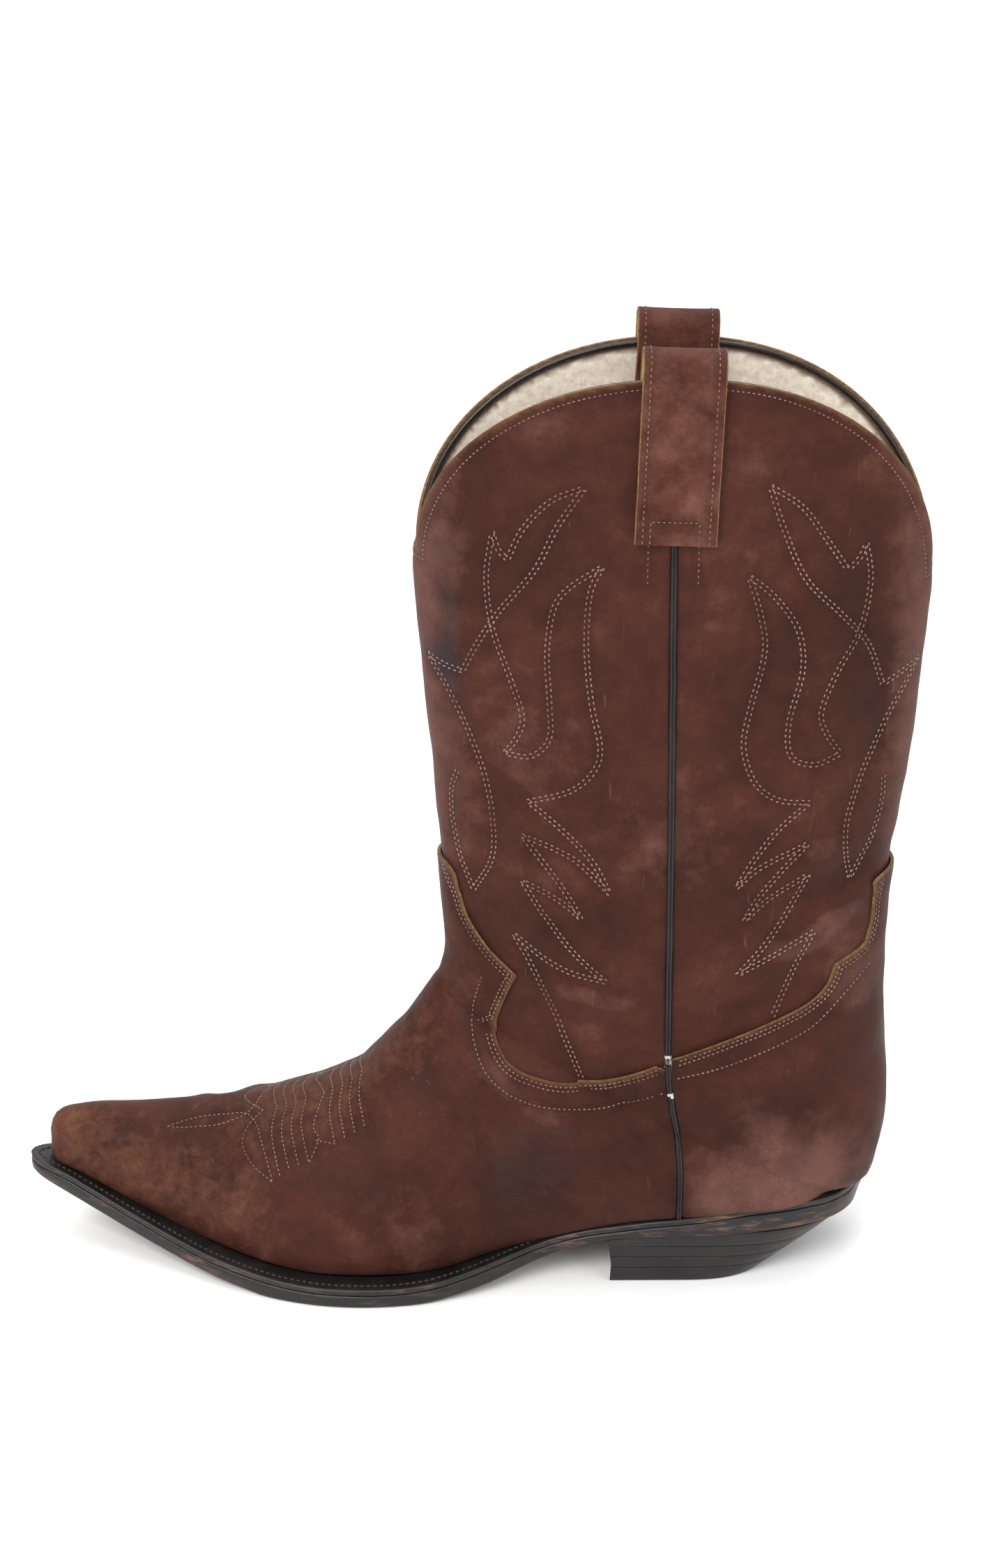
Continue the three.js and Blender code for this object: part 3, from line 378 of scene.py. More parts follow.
def top_edge_section(s, inset, offset=0.0):
    """Section numbers at which columns s reach the top edge."""
    low = np.full(np.shape(s), 17.5)
    high = np.full(np.shape(s), float(TOP_SECTION))
    for _ in range(36):
        middle = (low + high) / 2
        points = offset_point(middle, s, offset)
        above = points[..., 2] > top_edge(points[..., 0], inset)
        high = np.where(above, middle, high)
        low = np.where(above, low, middle)
    return (low + high) / 2


def profile_height(profile):
    """A function that gives the height over x along a smooth profile."""
    curve = spline(profile, 6)

    def height(x):
        return np.interp(x, curve[:, 0], curve[:, 1])

    return height


last_edge = profile_height([
    (-242, 31.8), *[(row[2] + 0.6, row[3] + 0.1) for row in SECTIONS[1:CLOSED_FROM + 1]], (80, 29.6)])


def feather(x):
    """Height of the upper's lower edge over x."""
    return last_edge(x) + np.interp(x, *zip(*SEAT_RISE))


walking_face = profile_height(SOLE_BOTTOM)
seam_curve = spline(SEAM[::-1], 8)


def seam_x(z):
    """Where the side seam runs at a height."""
    return np.interp(z, seam_curve[:, 1], seam_curve[:, 0])


# ------------------------------------------------------------------ meshes


def mesh_object(name, vertices, faces, materials, face_materials=None, body="boot", sharp=35):
    """A smooth-shaded object from points in millimetres, riding on a body."""
    mesh = bpy.data.meshes.new(name)
    mesh.from_pydata((np.asarray(vertices) * MM).tolist(), [], [list(map(int, face)) for face in faces])
    for material in materials:
        mesh.materials.append(material)
    if face_materials is not None:
        mesh.polygons.foreach_set("material_index", np.asarray(face_materials, np.int32))
    mesh.validate()
    mesh.shade_smooth()
    mesh.set_sharp_from_angle(angle=math.radians(sharp))
    piece = bpy.data.objects.new(name, mesh)
    bpy.context.scene.collection.objects.link(piece)
    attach(piece, body)
    return piece


def paint(piece, name, values):
    """A number for each point, which the materials read by name."""
    attribute = piece.data.attributes.new(name, "FLOAT", "POINT")
    attribute.data.foreach_set("value", np.asarray(values, np.float32))


def noise_at(points, size, seed=0):
    """Smooth noise from -1 to 1 with features of about that size."""
    shift = Vector((seed * 17.3, seed * 5.1, -seed * 9.7))
    return np.array([noise.noise(Vector(p) / size + shift) for p in points])


def clipped(t, s, field):
    """The part of a (t, s) grid where field is positive, as points, field values and faces."""
    index = np.arange(field.size).reshape(field.shape)
    corners = np.stack([index[:-1, :-1], index[1:, :-1], index[1:, 1:], index[:-1, 1:]], -1)
    flat = field.ravel()
    count = (flat[corners] > 0).sum(-1)
    faces = corners[count == 4].tolist()
    points = list(zip(t.ravel(), s.ravel(), flat))
    cuts = {}
    for cell in corners[(count > 0) & (count < 4)].tolist():
        face = []
        for a, b in zip(cell, cell[1:] + cell[:1]):
            if flat[a] > 0:
                face.append(a)
            if (flat[a] > 0) != (flat[b] > 0):
                key = (min(a, b), max(a, b))
                if key not in cuts:
                    cuts[key] = len(points)
                    share = flat[key[0]] / (flat[key[0]] - flat[key[1]])
                    points.append(tuple(lerp(np.array(points[key[0]]), np.array(points[key[1]]), share)))
                face.append(cuts[key])
        faces.append(face)
    return np.array(points), faces


def rows_of(first, last, spacing):
    """Section numbers whose lines on the last are never further apart than the spacing."""
    t = np.arange(first, last + 1e-9, 0.01)
    columns = np.linspace(-1, 1, 21)
    points = last_point(t[:, None], columns[None])
    steps = np.linalg.norm(np.diff(points, axis=0), axis=-1).max(1)
    along = np.concatenate([[0], np.cumsum(steps)])
    count = max(2, int(along[-1] / spacing) + 1)
    return np.interp(np.linspace(0, along[-1], count), along, t)


def merged(points, faces):
    """Joins points that lie together, and drops points and faces that this leaves without use."""
    rounded = np.round(points, 3) + 0.0
    _, first, inverse = np.unique(rounded, axis=0, return_index=True, return_inverse=True)
    inverse = inverse.ravel()
    kept = []
    for face in faces:
        corners = [first[inverse[k]] for k in face]
        corners = [a for a, b in zip(corners, corners[1:] + corners[:1]) if a != b]
        if len(corners) > 2 and len(set(corners)) == len(corners):
            kept.append(corners)
    used = np.unique(np.concatenate([np.array(face) for face in kept]))
    place = np.full(len(points), -1)
    place[used] = np.arange(len(used))
    return used, [[int(place[k]) for k in face] for face in kept]


def leather(name, columns, rows, outline, offsets, materials, relief=None, edge_round=0.45):
    """A panel between two offsets of the last, cut out by a side-view outline.

    columns is a list of runs of s; the first material is the outside, the second its cut edge and back.
    Its margin is painted where it ends in a cut edge, away from the side seam and the sole.
    """
    points, faces = [], []
    for run in columns:
        t, s = np.meshgrid(rows, run, indexing="ij")
        place = offset_point(t, s, offsets[1]).reshape(-1, 3)
        field = signed_distance(place[:, (0, 2)], np.asarray(outline, float))
        field = np.minimum(field, place[:, 2] - feather(place[:, 0]))
        found, cells = clipped(t, s, field.reshape(t.shape))
        faces += [[k + sum(map(len, points)) for k in cell] for cell in cells]
        points.append(found)
    points = np.concatenate(points)
    place = offset_point(points[:, 0], points[:, 1], offsets[1])
    used, faces = merged(place, faces)
    t, s, edge_distance = points[used].T
    normal = last_normal(t, np.clip(s, -1, 1))
    place = offset_point(t, s, offsets[1])
    rise = -edge_round * (1 - smooth(0, 1.4, edge_distance))
    if relief:
        rise += relief(place) * smooth(0, 1.1, edge_distance)
    outer = place + normal * rise[:, None]
    inner = offset_point(t, s, offsets[0])
    count = len(outer)
    directed = {(a, b) for face in faces for a, b in zip(face, face[1:] + face[:1])}
    border = [(a, b) for a, b in sorted(directed) if (b, a) not in directed]
    rim = [[b, a, a + count, b + count] for a, b in border]
    back = [[k + count for k in reversed(face)] for face in faces]
    slots = [0] * len(faces) + [1] * (len(rim) + len(back))
    piece = mesh_object(name, np.concatenate([outer, inner]), [*faces, *rim, *back], materials, slots)
    cut = smooth(1.1, 0.3, edge_distance) * smooth(1.5, 3, np.abs(place[:, 0] - seam_x(place[:, 2])))
    cut = cut * smooth(2, 5, place[:, 2] - feather(place[:, 0]))
    paint(piece, "margin", np.tile(cut, 2))
    return piece


def ring_faces(rings, count, closed=False):
    """Quads between neighbouring rings of points; closed joins the last ring to the first."""
    faces = []
    for i in range(rings if closed else rings - 1):
        here, following = i * count, (i + 1) % rings * count
        for j in range(count):
            k = (j + 1) % count
            faces.append([here + j, here + k, following + k, following + j])
    return faces


def ring_ends(rings, count):
    """The faces that close the first and the last ring."""
    last = (rings - 1) * count
    return [list(range(count))[::-1], list(range(last, last + count))]


def circle_angles(count):
    """Angles evenly spaced round a circle."""
    return np.linspace(0, 2 * math.pi, count + 1)[:-1]


def sweep(path, out, profile):
    """Points and faces of a closed bar: a profile of (across, out) pairs carried along a path."""
    path, out = np.asarray(path, float), np.asarray(out, float)
    ahead = np.gradient(path, axis=0)
    ahead /= np.linalg.norm(ahead, axis=1, keepdims=True)
    out = out - ahead * (out * ahead).sum(1, keepdims=True)
    out /= np.linalg.norm(out, axis=1, keepdims=True)
    across = np.cross(ahead, out)
    profile = np.asarray(profile, float)
    rings = path[:, None] + profile[None, :, :1] * across[:, None] + profile[None, :, 1:] * out[:, None]
    size = len(path), len(profile)
    return rings.reshape(-1, 3), ring_faces(*size) + ring_ends(*size)


def rounded_bar(width, height, radius, steps=4, across=1):
    """A rounded rectangle as (across, out) pairs, counter-clockwise, centred on its own middle."""
    corners = []
    for quarter, (x, y) in enumerate([(1, 1), (-1, 1), (-1, -1), (1, -1)]):
        centre = (x * (width / 2 - radius), y * (height / 2 - radius))
        arc = [math.pi / 2 * (quarter + k / steps) for k in range(steps + 1)]
        corners.append([(centre[0] + radius * math.cos(a), centre[1] + radius * math.sin(a)) for a in arc])
    profile = []
    for here, following in zip(corners, corners[1:] + corners[:1]):
        profile += here
        if abs(here[-1][0] - following[0][0]) > abs(here[-1][1] - following[0][1]):
            shares = [k / across for k in range(1, across)]
            profile += [tuple(lerp(np.array(here[-1]), np.array(following[0]), share)) for share in shares]
    return profile


# ------------------------------------------------------------------ stitches

STITCH_PITCH = 2.1
FINE_PITCH = 1.75
STITCH_LENGTH = 1.2
STITCH_RADIUS = 0.31
ROW_SPACING = 1.45
# How far a row draws the leather down at its stitches, and more widely around them.
STITCH_PULL = 0.32
QUILT_PULL = 0.5
DEEPEST = 1.35
# A stitch's cross-sections: place along half its length, and share of its radius.
SLICES = [(-1, 0), (-0.72, 0.72), (0, 1), (0.72, 0.72), (1, 0)]
STITCH_SIDES = 6


class Thread:
    """Gathers rows of stitches, and makes them one mesh."""

    def __init__(self):
        self.centres, self.axes, self.outs = [], [], []

    def row(self, path, out, start=0.5, pitch=STITCH_PITCH):
        """Stitches along a path, each lying on the surface that faces out."""
        at = lengths_along(path)
        wanted = np.arange(start * pitch, at[-1], pitch)
        if not len(wanted):
            return
        ahead = np.gradient(path, axis=0)
        for kept, values in ((self.centres, path), (self.axes, ahead), (self.outs, out)):
            kept.append(np.stack([np.interp(wanted, at, values[:, k]) for k in range(3)], 1))

    def points(self):
        return np.concatenate(self.centres)

    def build(self, name, material, body="boot", length=STITCH_LENGTH, radius=STITCH_RADIUS, follow=True):
        """One mesh of all the stitches, which follow the folds of the last's leather if they lie on it."""
        centres, axes, outs = map(np.concatenate, (self.centres, self.axes, self.outs))
        axes = axes / np.linalg.norm(axes, axis=1, keepdims=True)
        outs = outs - axes * (outs * axes).sum(1, keepdims=True)
        outs /= np.linalg.norm(outs, axis=1, keepdims=True)
        if follow:
            lift = np.maximum(fold_relief(centres) - STITCH_PULL - QUILT_PULL, -DEEPEST) + 0.35 * radius
            centres = centres + outs * lift[:, None]
        across = np.cross(axes, outs)
        shape = []
        for along, wide in SLICES:
            sides = 1 if wide == 0 else STITCH_SIDES
            for k in range(sides):
                angle = 2 * math.pi * k / sides
                shape.append((along * length / 2, wide * radius * math.cos(angle),
                              wide * radius * math.sin(angle)))
        shape = np.array(shape)
        vertices = (centres[:, None] + shape[None, :, :1] * axes[:, None]
                    + shape[None, :, 1:2] * across[:, None] + shape[None, :, 2:] * outs[:, None])
        last = len(shape) - 1
        one = []
        for k in range(STITCH_SIDES):
            n = (k + 1) % STITCH_SIDES
            one.append([0, 1 + n, 1 + k])
            for ring in (1, 1 + STITCH_SIDES):
                one.append([ring + k, ring + n, ring + STITCH_SIDES + n, ring + STITCH_SIDES + k])
            one.append([last, 1 + 2 * STITCH_SIDES + k, 1 + 2 * STITCH_SIDES + n])
        faces = [[v + m * len(shape) for v in face] for m in range(len(centres)) for face in one]
        piece = mesh_object(name, vertices.reshape(-1, 3), faces, [material], body=body, sharp=80)
        return piece


def surface_path(run, side, offset):
    """A run of design points as a path on one side of the boot, with the surface's normals."""
    curve = spline(run, 10)
    curve = resampled(curve, max(6, int(lengths_along(curve)[-1] / 1.2)))
    t, s = locate(curve, side, offset)
    return offset_point(t, s, offset), last_normal(t, s)


def sew(thread, runs, side, offset, shifts, pitch=STITCH_PITCH):
    """Rows along each run, shifted sideways on the surface; rows beside each other are staggered."""
    for run in runs:
        path, out = surface_path(run, side, offset)
        ahead = np.gradient(path, axis=0)
        across = np.cross(ahead, out)
        across /= np.linalg.norm(across, axis=1, keepdims=True)
        for k, shift in enumerate(shifts):
            thread.row(path + across * shift * -side, out, start=0.35 + 0.5 * (k % 2), pitch=pitch)


# ------------------------------------------------------------------ materials


SOCKETS = {"sheen": "Sheen Weight", "sheen_roughness": "Sheen Roughness", "specular": "Specular IOR Level",
           "metallic": "Metallic"}


class Graph:
    """A material's node tree, with short names for what the finishes share."""

    def __init__(self, name):
        self.material = bpy.data.materials.new(name)
        self.material.use_nodes = True
        self.tree = self.material.node_tree
        self.shader = self.tree.nodes["Principled BSDF"]
        self.place = self.node("ShaderNodeTexCoord").outputs["Object"]

    def node(self, kind, inputs=(), **settings):
        made = self.tree.nodes.new(kind)
        for key, value in settings.items():
            setattr(made, key, value)
        for key, value in dict(inputs).items():
            if isinstance(value, bpy.types.NodeSocket):
                self.tree.links.new(value, made.inputs[key])
            else:
                made.inputs[key].default_value = value
        return made

    def noise(self, size, detail=4, roughness=0.55, stretch=(1, 1, 1), distortion=0.0):
        """Noise from 0 to 1 with features of about that size, in millimetres."""
        scaled = self.node("ShaderNodeMapping", {"Vector": self.place, "Scale": stretch})
        made = self.node("ShaderNodeTexNoise", {
            "Vector": scaled.outputs[0], "Scale": 1 / (size * MM), "Detail": detail,
            "Roughness": roughness, "Distortion": distortion})
        return made.outputs["Fac"]

    def cells(self, size):
        made = self.node("ShaderNodeTexVoronoi", {"Vector": self.place, "Scale": 1 / (size * MM)})
        return made.outputs["Distance"]

    def painted(self, name):
        return self.node("ShaderNodeAttribute", attribute_name=name).outputs["Fac"]

    def math(self, operation, a, b=0.5, c=0.5):
        return self.node("ShaderNodeMath", {0: a, 1: b, 2: c}, operation=operation).outputs[0]

    def span(self, value, low, high, to_low=0.0, to_high=1.0):
        """The value's span from low to high stretched over another, and held at its ends."""
        made = self.node("ShaderNodeMapRange", {
            "Value": value, "From Min": low, "From Max": high, "To Min": to_low, "To Max": to_high})
        return made.outputs["Result"]

    def ramp(self, value, stops):
        made = self.node("ShaderNodeValToRGB", {"Fac": value})
        elements = made.color_ramp.elements
        while len(elements) < len(stops):
            elements.new(0.5)
        for element, (position, colour) in zip(elements, stops):
            element.position = position
            element.color = (*colour, 1)
        return made.outputs["Color"]

    def mix(self, share, a, b, blend="MIX"):
        made = self.node("ShaderNodeMix", data_type="RGBA", blend_type=blend)
        for key, value in ((0, share), (6, a), (7, b)):
            if isinstance(value, bpy.types.NodeSocket):
                self.tree.links.new(value, made.inputs[key])
            else:
                made.inputs[key].default_value = (*value, 1) if isinstance(value, tuple) else value
        return made.outputs[2]

    def bump(self, height, distance, strength=1.0, under=None):
        """A bump whose height of 1 stands for that many millimetres."""
        inputs = {"Height": height, "Distance": distance * MM, "Strength": strength}
        if under is not None:
            inputs["Normal"] = under
        return self.node("ShaderNodeBump", inputs).outputs["Normal"]

    def finish(self, colour, roughness, normal, **fixed):
        self.tree.links.new(colour, self.shader.inputs["Base Color"])
        self.tree.links.new(roughness, self.shader.inputs["Roughness"])
        self.tree.links.new(normal, self.shader.inputs["Normal"])
        for name, value in fixed.items():
            self.shader.inputs[SOCKETS[name]].default_value = value
        return self.material


def nubuck(name="nubuck", tint=(1, 1, 1)):
    """Oiled nubuck: cloudy red-brown, a short nap, paler where it rubs and with a painted highlight on fold
    ridges, dark in its stains, with painted shade along its stitching and seams and in fold hollows.
    """
    g = Graph(name)
    cloud = g.noise(55, 5, 0.6, distortion=0.6)
    mottle = g.noise(13, 6, 0.65)
    broken = g.noise(5, 5, 0.7, distortion=0.5)
    nap = g.noise(0.75, 3, 0.7)
    blend = g.math("ADD", g.math("MULTIPLY", cloud, 0.6), g.math("MULTIPLY", mottle, 0.4))
    colour = g.ramp(blend, [
        (0.32, (0.021, 0.0062, 0.0040)), (0.45, (0.038, 0.0104, 0.0063)), (0.57, (0.055, 0.0158, 0.0098)),
        (0.70, (0.094, 0.036, 0.025))])
    # The pale rub colour goes where the leather is worn, and also as a painted highlight on fold ridges.
    rub_and_highlight = g.span(g.math("ADD", g.painted("rub_and_highlight"), g.math("MULTIPLY", mottle, 0.8)), 0.62, 1.35)
    colour = g.mix(rub_and_highlight, colour, (0.145, 0.066, 0.053))
    tan = g.span(g.math("ADD", g.painted("tan"), g.math("MULTIPLY", broken, 1.3)), 0.85, 1.7)
    colour = g.mix(tan, colour, (0.116, 0.045, 0.0245))
    stain = g.span(g.math("ADD", g.painted("stain"), broken), 0.80, 1.35)
    colour = g.mix(g.math("MULTIPLY", stain, 0.75), colour, (0.021, 0.0175, 0.020))
    margin = g.math("MULTIPLY", g.painted("margin"), g.span(broken, 0.25, 0.6, 0.35, 0.95))
    colour = g.mix(margin, colour, (0.125, 0.060, 0.026))
    # Painted shade along stitching, beside the side seam and in fold hollows darkens the leather.
    shade = g.span(g.painted("shade"), 0, 1, 1, 0.52)
    fibres = g.math("MULTIPLY", g.span(nap, 0.3, 0.7, 0.82, 1.18), g.span(broken, 0.3, 0.7, 0.88, 1.12))
    colour = g.mix(1.0, colour, g.math("MULTIPLY", shade, fibres), "MULTIPLY")
    scratch = g.noise(5, 2, 0.5, stretch=(1, 1, 0.12), distortion=1.5)
    marks = g.span(scratch, 0.70, 0.78, 0, 0.35)
    colour = g.mix(marks, colour, (0.14, 0.078, 0.058))
    colour = g.mix(1.0, colour, tint, "MULTIPLY")
    roughness = g.span(mottle, 0.3, 0.7, 0.48, 0.74)
    coarse = g.bump(mottle, 1.0, 0.45)
    fine = g.bump(broken, 0.25, 0.5, coarse)
    return g.finish(colour, roughness, g.bump(nap, 0.12, 0.8, fine),
                    sheen=0.02, sheen_roughness=0.45, specular=0.11)


def cut_edge():
    """Raw leather: the golden-tan cut edge and flesh side."""
    g = Graph("cut_edge")
    streaks = g.noise(2.2, 4, 0.6, stretch=(1, 1, 2.5))
    colour = g.ramp(streaks, [
        (0.3, (0.075, 0.036, 0.014)), (0.5, (0.155, 0.082, 0.030)), (0.72, (0.26, 0.15, 0.062))])
    fibres = g.noise(0.5, 3, 0.7)
    return g.finish(colour, g.span(fibres, 0.3, 0.7, 0.75, 0.95), g.bump(fibres, 0.15))


def thread_finish(name, colours):
    """Twisted thread: strands wind along it in fine pale and dark turns."""
    g = Graph(name)
    turns = g.noise(0.35, 2, 0.5)
    change = g.noise(24, 3, 0.6)
    colour = g.mix(g.span(change, 0.35, 0.68), colours[0], colours[1])
    colour = g.mix(1.0, colour, g.span(turns, 0.3, 0.7, 0.7, 1.2), "MULTIPLY")
    return g.finish(colour, g.span(turns, 0.3, 0.7, 0.5, 0.75), g.bump(turns, 0.08))


def cord_finish(name, gloss):
    """Dark piping: smooth finished leather with a waxy gloss, scuffed here and there."""
    g = Graph(name)
    grain = g.noise(0.8, 3, 0.6)
    scuffs = g.noise(6, 4, 0.65, stretch=(1, 1, 0.4))
    colour = g.ramp(scuffs, [
        (0.3, (0.006, 0.0035, 0.004)), (0.62, (0.014, 0.0085, 0.009)), (0.8, (0.05, 0.033, 0.031))])
    return g.finish(colour, g.span(scuffs, 0.3, 0.75, gloss, gloss + 0.22), g.bump(grain, 0.08),
                    specular=0.42)


def pale_end():
    """The white core that shows where a run of piping is cut."""
    g = Graph("piping_core")
    fibres = g.noise(0.5, 3, 0.7)
    colour = g.ramp(fibres, [(0.3, (0.30, 0.26, 0.25)), (0.7, (0.78, 0.74, 0.71))])
    return g.finish(colour, g.span(fibres, 0.3, 0.7, 0.7, 0.9), g.bump(fibres, 0.1))


def shearling():
    """The lining's napped, cream flesh side, with greyer hollows."""
    g = Graph("lining_nap")
    tufts = g.noise(2.6, 5, 0.7)
    fibres = g.noise(0.45, 3, 0.75)
    soil = g.noise(30, 4, 0.6)
    colour = g.ramp(tufts, [
        (0.3, (0.52, 0.44, 0.35)), (0.5, (0.66, 0.585, 0.49)), (0.7, (0.78, 0.72, 0.63))])
    colour = g.mix(g.span(soil, 0.5, 0.75, 0, 0.3), colour, (0.42, 0.34, 0.26))
    colour = g.mix(1.0, colour, g.span(fibres, 0.3, 0.7, 0.88, 1.08), "MULTIPLY")
    colour = g.mix(g.painted("margin"), colour, (0.10, 0.05, 0.032))
    height = g.math("ADD", tufts, g.math("MULTIPLY", fibres, 0.5))
    return g.finish(colour, g.span(fibres, 0.3, 0.7, 0.85, 1.0), g.bump(height, 0.3, 0.8),
                    sheen=0.3, sheen_roughness=0.6, specular=0.2)


def strap_lining_finish():
    """The yellow-tan leather inside the pull straps."""
    g = Graph("strap_lining_leather")
    cloud = g.noise(9, 5, 0.65)
    pores = g.cells(0.8)
    colour = g.ramp(cloud, [
        (0.3, (0.20, 0.145, 0.040)), (0.55, (0.34, 0.26, 0.085)), (0.75, (0.44, 0.36, 0.15))])
    return g.finish(colour, g.span(cloud, 0.3, 0.7, 0.55, 0.8), g.bump(pores, 0.1, 0.6))


def sole_finish(name, scuff, gloss):
    """Burnished black sole leather; its bruised edge shows the tan under the dye."""
    g = Graph(name)
    wear = g.noise(5.5, 6, 0.72, stretch=(0.3, 0.5, 2.0), distortion=0.2)
    long_wear = g.noise(26, 4, 0.6)
    fibres = g.noise(1.1, 4, 0.65, stretch=(1, 1, 3))
    colour = g.ramp(g.math("ADD", g.math("MULTIPLY", wear, 0.55), g.math("MULTIPLY", long_wear, 0.45)), [
        (0.35, (0.005, 0.004, 0.0045)), (0.55, (0.011, 0.009, 0.009)), (0.68, (0.028, 0.021, 0.019))])
    places = g.math("MULTIPLY", g.painted("bruise"), g.span(long_wear, 0.45, 0.62, 0.1, 1))
    bruise = g.math("MULTIPLY", places, g.span(wear, 0.60 - scuff, 0.70 - scuff))
    colour = g.mix(bruise, colour, (0.12, 0.062, 0.040))
    roughness = g.math("ADD", g.span(wear, 0.3, 0.7, gloss, gloss + 0.22), g.math("MULTIPLY", bruise, 0.3))
    under = g.bump(wear, 0.25, 0.5)
    return g.finish(colour, roughness, g.bump(fibres, 0.1, 0.7, under), specular=0.4)


def tread_finish():
    """The outsole's worn walking face: black dye rubbed back to brown leather."""
    g = Graph("sole_tread")
    wear = g.noise(22, 6, 0.7, distortion=0.8)
    streaks = g.noise(2.5, 4, 0.6, stretch=(0.25, 1, 1))
    value = g.math("ADD", g.math("MULTIPLY", wear, 0.7), g.math("MULTIPLY", streaks, 0.3))
    colour = g.ramp(value, [
        (0.36, (0.020, 0.014, 0.012)), (0.5, (0.085, 0.048, 0.030)), (0.66, (0.21, 0.125, 0.075))])
    return g.finish(colour, g.span(value, 0.3, 0.7, 0.45, 0.85), g.bump(streaks, 0.25, 0.7))


def board_finish(name, low, high):
    """Fibre board, cork and other hidden stiffening: mottled, matt and grainy."""
    g = Graph(name)
    grain = g.noise(2.4, 5, 0.7)
    chips = g.cells(2.8)
    colour = g.ramp(grain, [(0.3, low), (0.7, high)])
    return g.finish(colour, g.span(grain, 0.3, 0.7, 0.8, 0.98), g.bump(chips, 0.3, 0.6))


def steel_finish():
    """Drawn steel with fine scratches."""
    g = Graph("nail_steel")
    scratches = g.noise(0.5, 4, 0.7, stretch=(1, 6, 1))
    colour = g.ramp(scratches, [(0.3, (0.22, 0.21, 0.20)), (0.7, (0.5, 0.49, 0.47))])
    return g.finish(colour, g.span(scratches, 0.3, 0.7, 0.3, 0.6), g.bump(scratches, 0.05), metallic=1.0)


FINISH = {
    "nubuck": nubuck(),
    "strap": nubuck("strap_nubuck", (1.28, 1.28, 1.22)),
    "edge": cut_edge(),
    "thread": thread_finish("thread_tan", ((0.145, 0.068, 0.050), (0.30, 0.18, 0.145))),
    "pale_thread": thread_finish("thread_pale", ((0.15, 0.078, 0.055), (0.30, 0.19, 0.15))),
    "red_thread": thread_finish("thread_rust", ((0.15, 0.058, 0.040), (0.26, 0.12, 0.085))),
    "dark_thread": thread_finish("thread_black", ((0.014, 0.011, 0.011), (0.040, 0.031, 0.028))),
    "cord": cord_finish("piping_leather", 0.30),
    "bead": cord_finish("bead_leather", 0.16),
    "cord_end": pale_end(),
    "lining": shearling(),
    "strap_lining": strap_lining_finish(),
    "welt": sole_finish("welt_edge", 0.10, 0.28),
    "heel": sole_finish("heel_edge", -0.06, 0.26),
    "tread": tread_finish(),
    "board": board_finish("fibre_board", (0.20, 0.13, 0.075), (0.40, 0.28, 0.17)),
    "cork": board_finish("cork_filler", (0.12, 0.06, 0.03), (0.33, 0.19, 0.10)),
    "steel": steel_finish(),
}

# ------------------------------------------------------------------ stitching

SHAFT_FACE = LEATHER
FOOT_FACE = 2 * LEATHER + GAP
DOUBLE = (-ROW_SPACING / 2, ROW_SPACING / 2)


def shaft_stitching():
    """The shaft's flame pattern in staggered double rows, on both sides."""
    made = {}
    panels = {"front": FRONT_PATTERN + FRONT_EDGE_PATTERN, "back": BACK_PATTERN + BACK_EDGE_PATTERN}
    for name, patterns in panels.items():
        made[name] = {}
        for label, side in BOTH_SIDES:
            made[name][label] = Thread()
            sew(made[name][label], patterns, side, SHAFT_FACE, DOUBLE)
    return made


def rim_stitching():
    """One row just below the top edge, all round."""
    thread = Thread()
    for columns in (np.linspace(-0.49, 0.49, 160), np.linspace(0.51, 1, 80), np.linspace(-1, -0.51, 80)):
        t = top_edge_section(columns, 2.7, SHAFT_FACE)
        thread.row(offset_point(t, columns, SHAFT_FACE), last_normal(t, columns), pitch=FINE_PITCH)
    return thread


def strap_fixing():
    """The straps' fixing rows, which run on down the shaft on either side of the seam."""
    thread = Thread()
    for side in (-1, 1):
        for x in STRAP_FIXING_X:
            sew(thread, [[(x, 268), (x, 275), (x, 282)]], side, SHAFT_FACE, (0,))
    return thread


def foot_stitching():
    """Rows beside the vamp's and the heel cover's top lines."""
    vamp, counter = Thread(), Thread()
    edge_rows = (1.5, 1.5 + ROW_SPACING)
    for side in (-1, 1):
        vamp_runs = [VAMP_TOP[0][1:], VAMP_TOP[1]]
        sew(vamp, vamp_runs, side, FOOT_FACE, edge_rows, FINE_PITCH)
        sew(vamp, VAMP_SECOND_ROW, side, FOOT_FACE, (0,), FINE_PITCH)
        sew(counter, [*COUNTER_TOP[:2], COUNTER_TOP[2][:-1]], side, FOOT_FACE, edge_rows, FINE_PITCH)
        sew(counter, COUNTER_SECOND_ROW, side, FOOT_FACE, (0,), FINE_PITCH)
    return vamp, counter


def toe_stitching():
    """The pattern over the toe and the ribs behind it."""
    thread = Thread()
    for mirror in (1, -1):
        for run in TOE_PATTERN:
            curve = spline([(x, TOE_MIDDLE + mirror * y) for x, y in run], 8)
            curve = resampled(curve, max(5, int(lengths_along(curve)[-1] / 1.2)))
            middle = np.interp(curve[:, 0], SECTIONS[:9, 0], SECTIONS[:9, 4])
            path, out = np.empty((len(curve), 3)), np.empty((len(curve), 3))
            for side in (-1, 1):
                here = (curve[:, 1] < middle) == (side < 0)
                if here.any():
                    t, s = locate(curve[here], side, FOOT_FACE, (0, 1))
                    path[here], out[here] = offset_point(t, s, FOOT_FACE), last_normal(t, s)
            thread.row(path, out, pitch=1.7)
    return thread


shaft_threads = shaft_stitching()
rim_thread = rim_stitching()
fixing_thread = strap_fixing()
vamp_thread, counter_thread = foot_stitching()
toe_thread = toe_stitching()


def nearest(points, targets):
    """Distance of each point from the nearest target."""
    tree = kdtree.KDTree(len(targets))
    for k, target in enumerate(targets):
        tree.insert(target, k)
    tree.balance()
    return np.array([tree.find(p)[2] for p in points])


# ------------------------------------------------------------------ leather panels


# Slack in the leather: height, size and noise seed.
SLACK = [(0.85, 38, 1), (0.36, 13, 2), (0.08, 5, 4)]
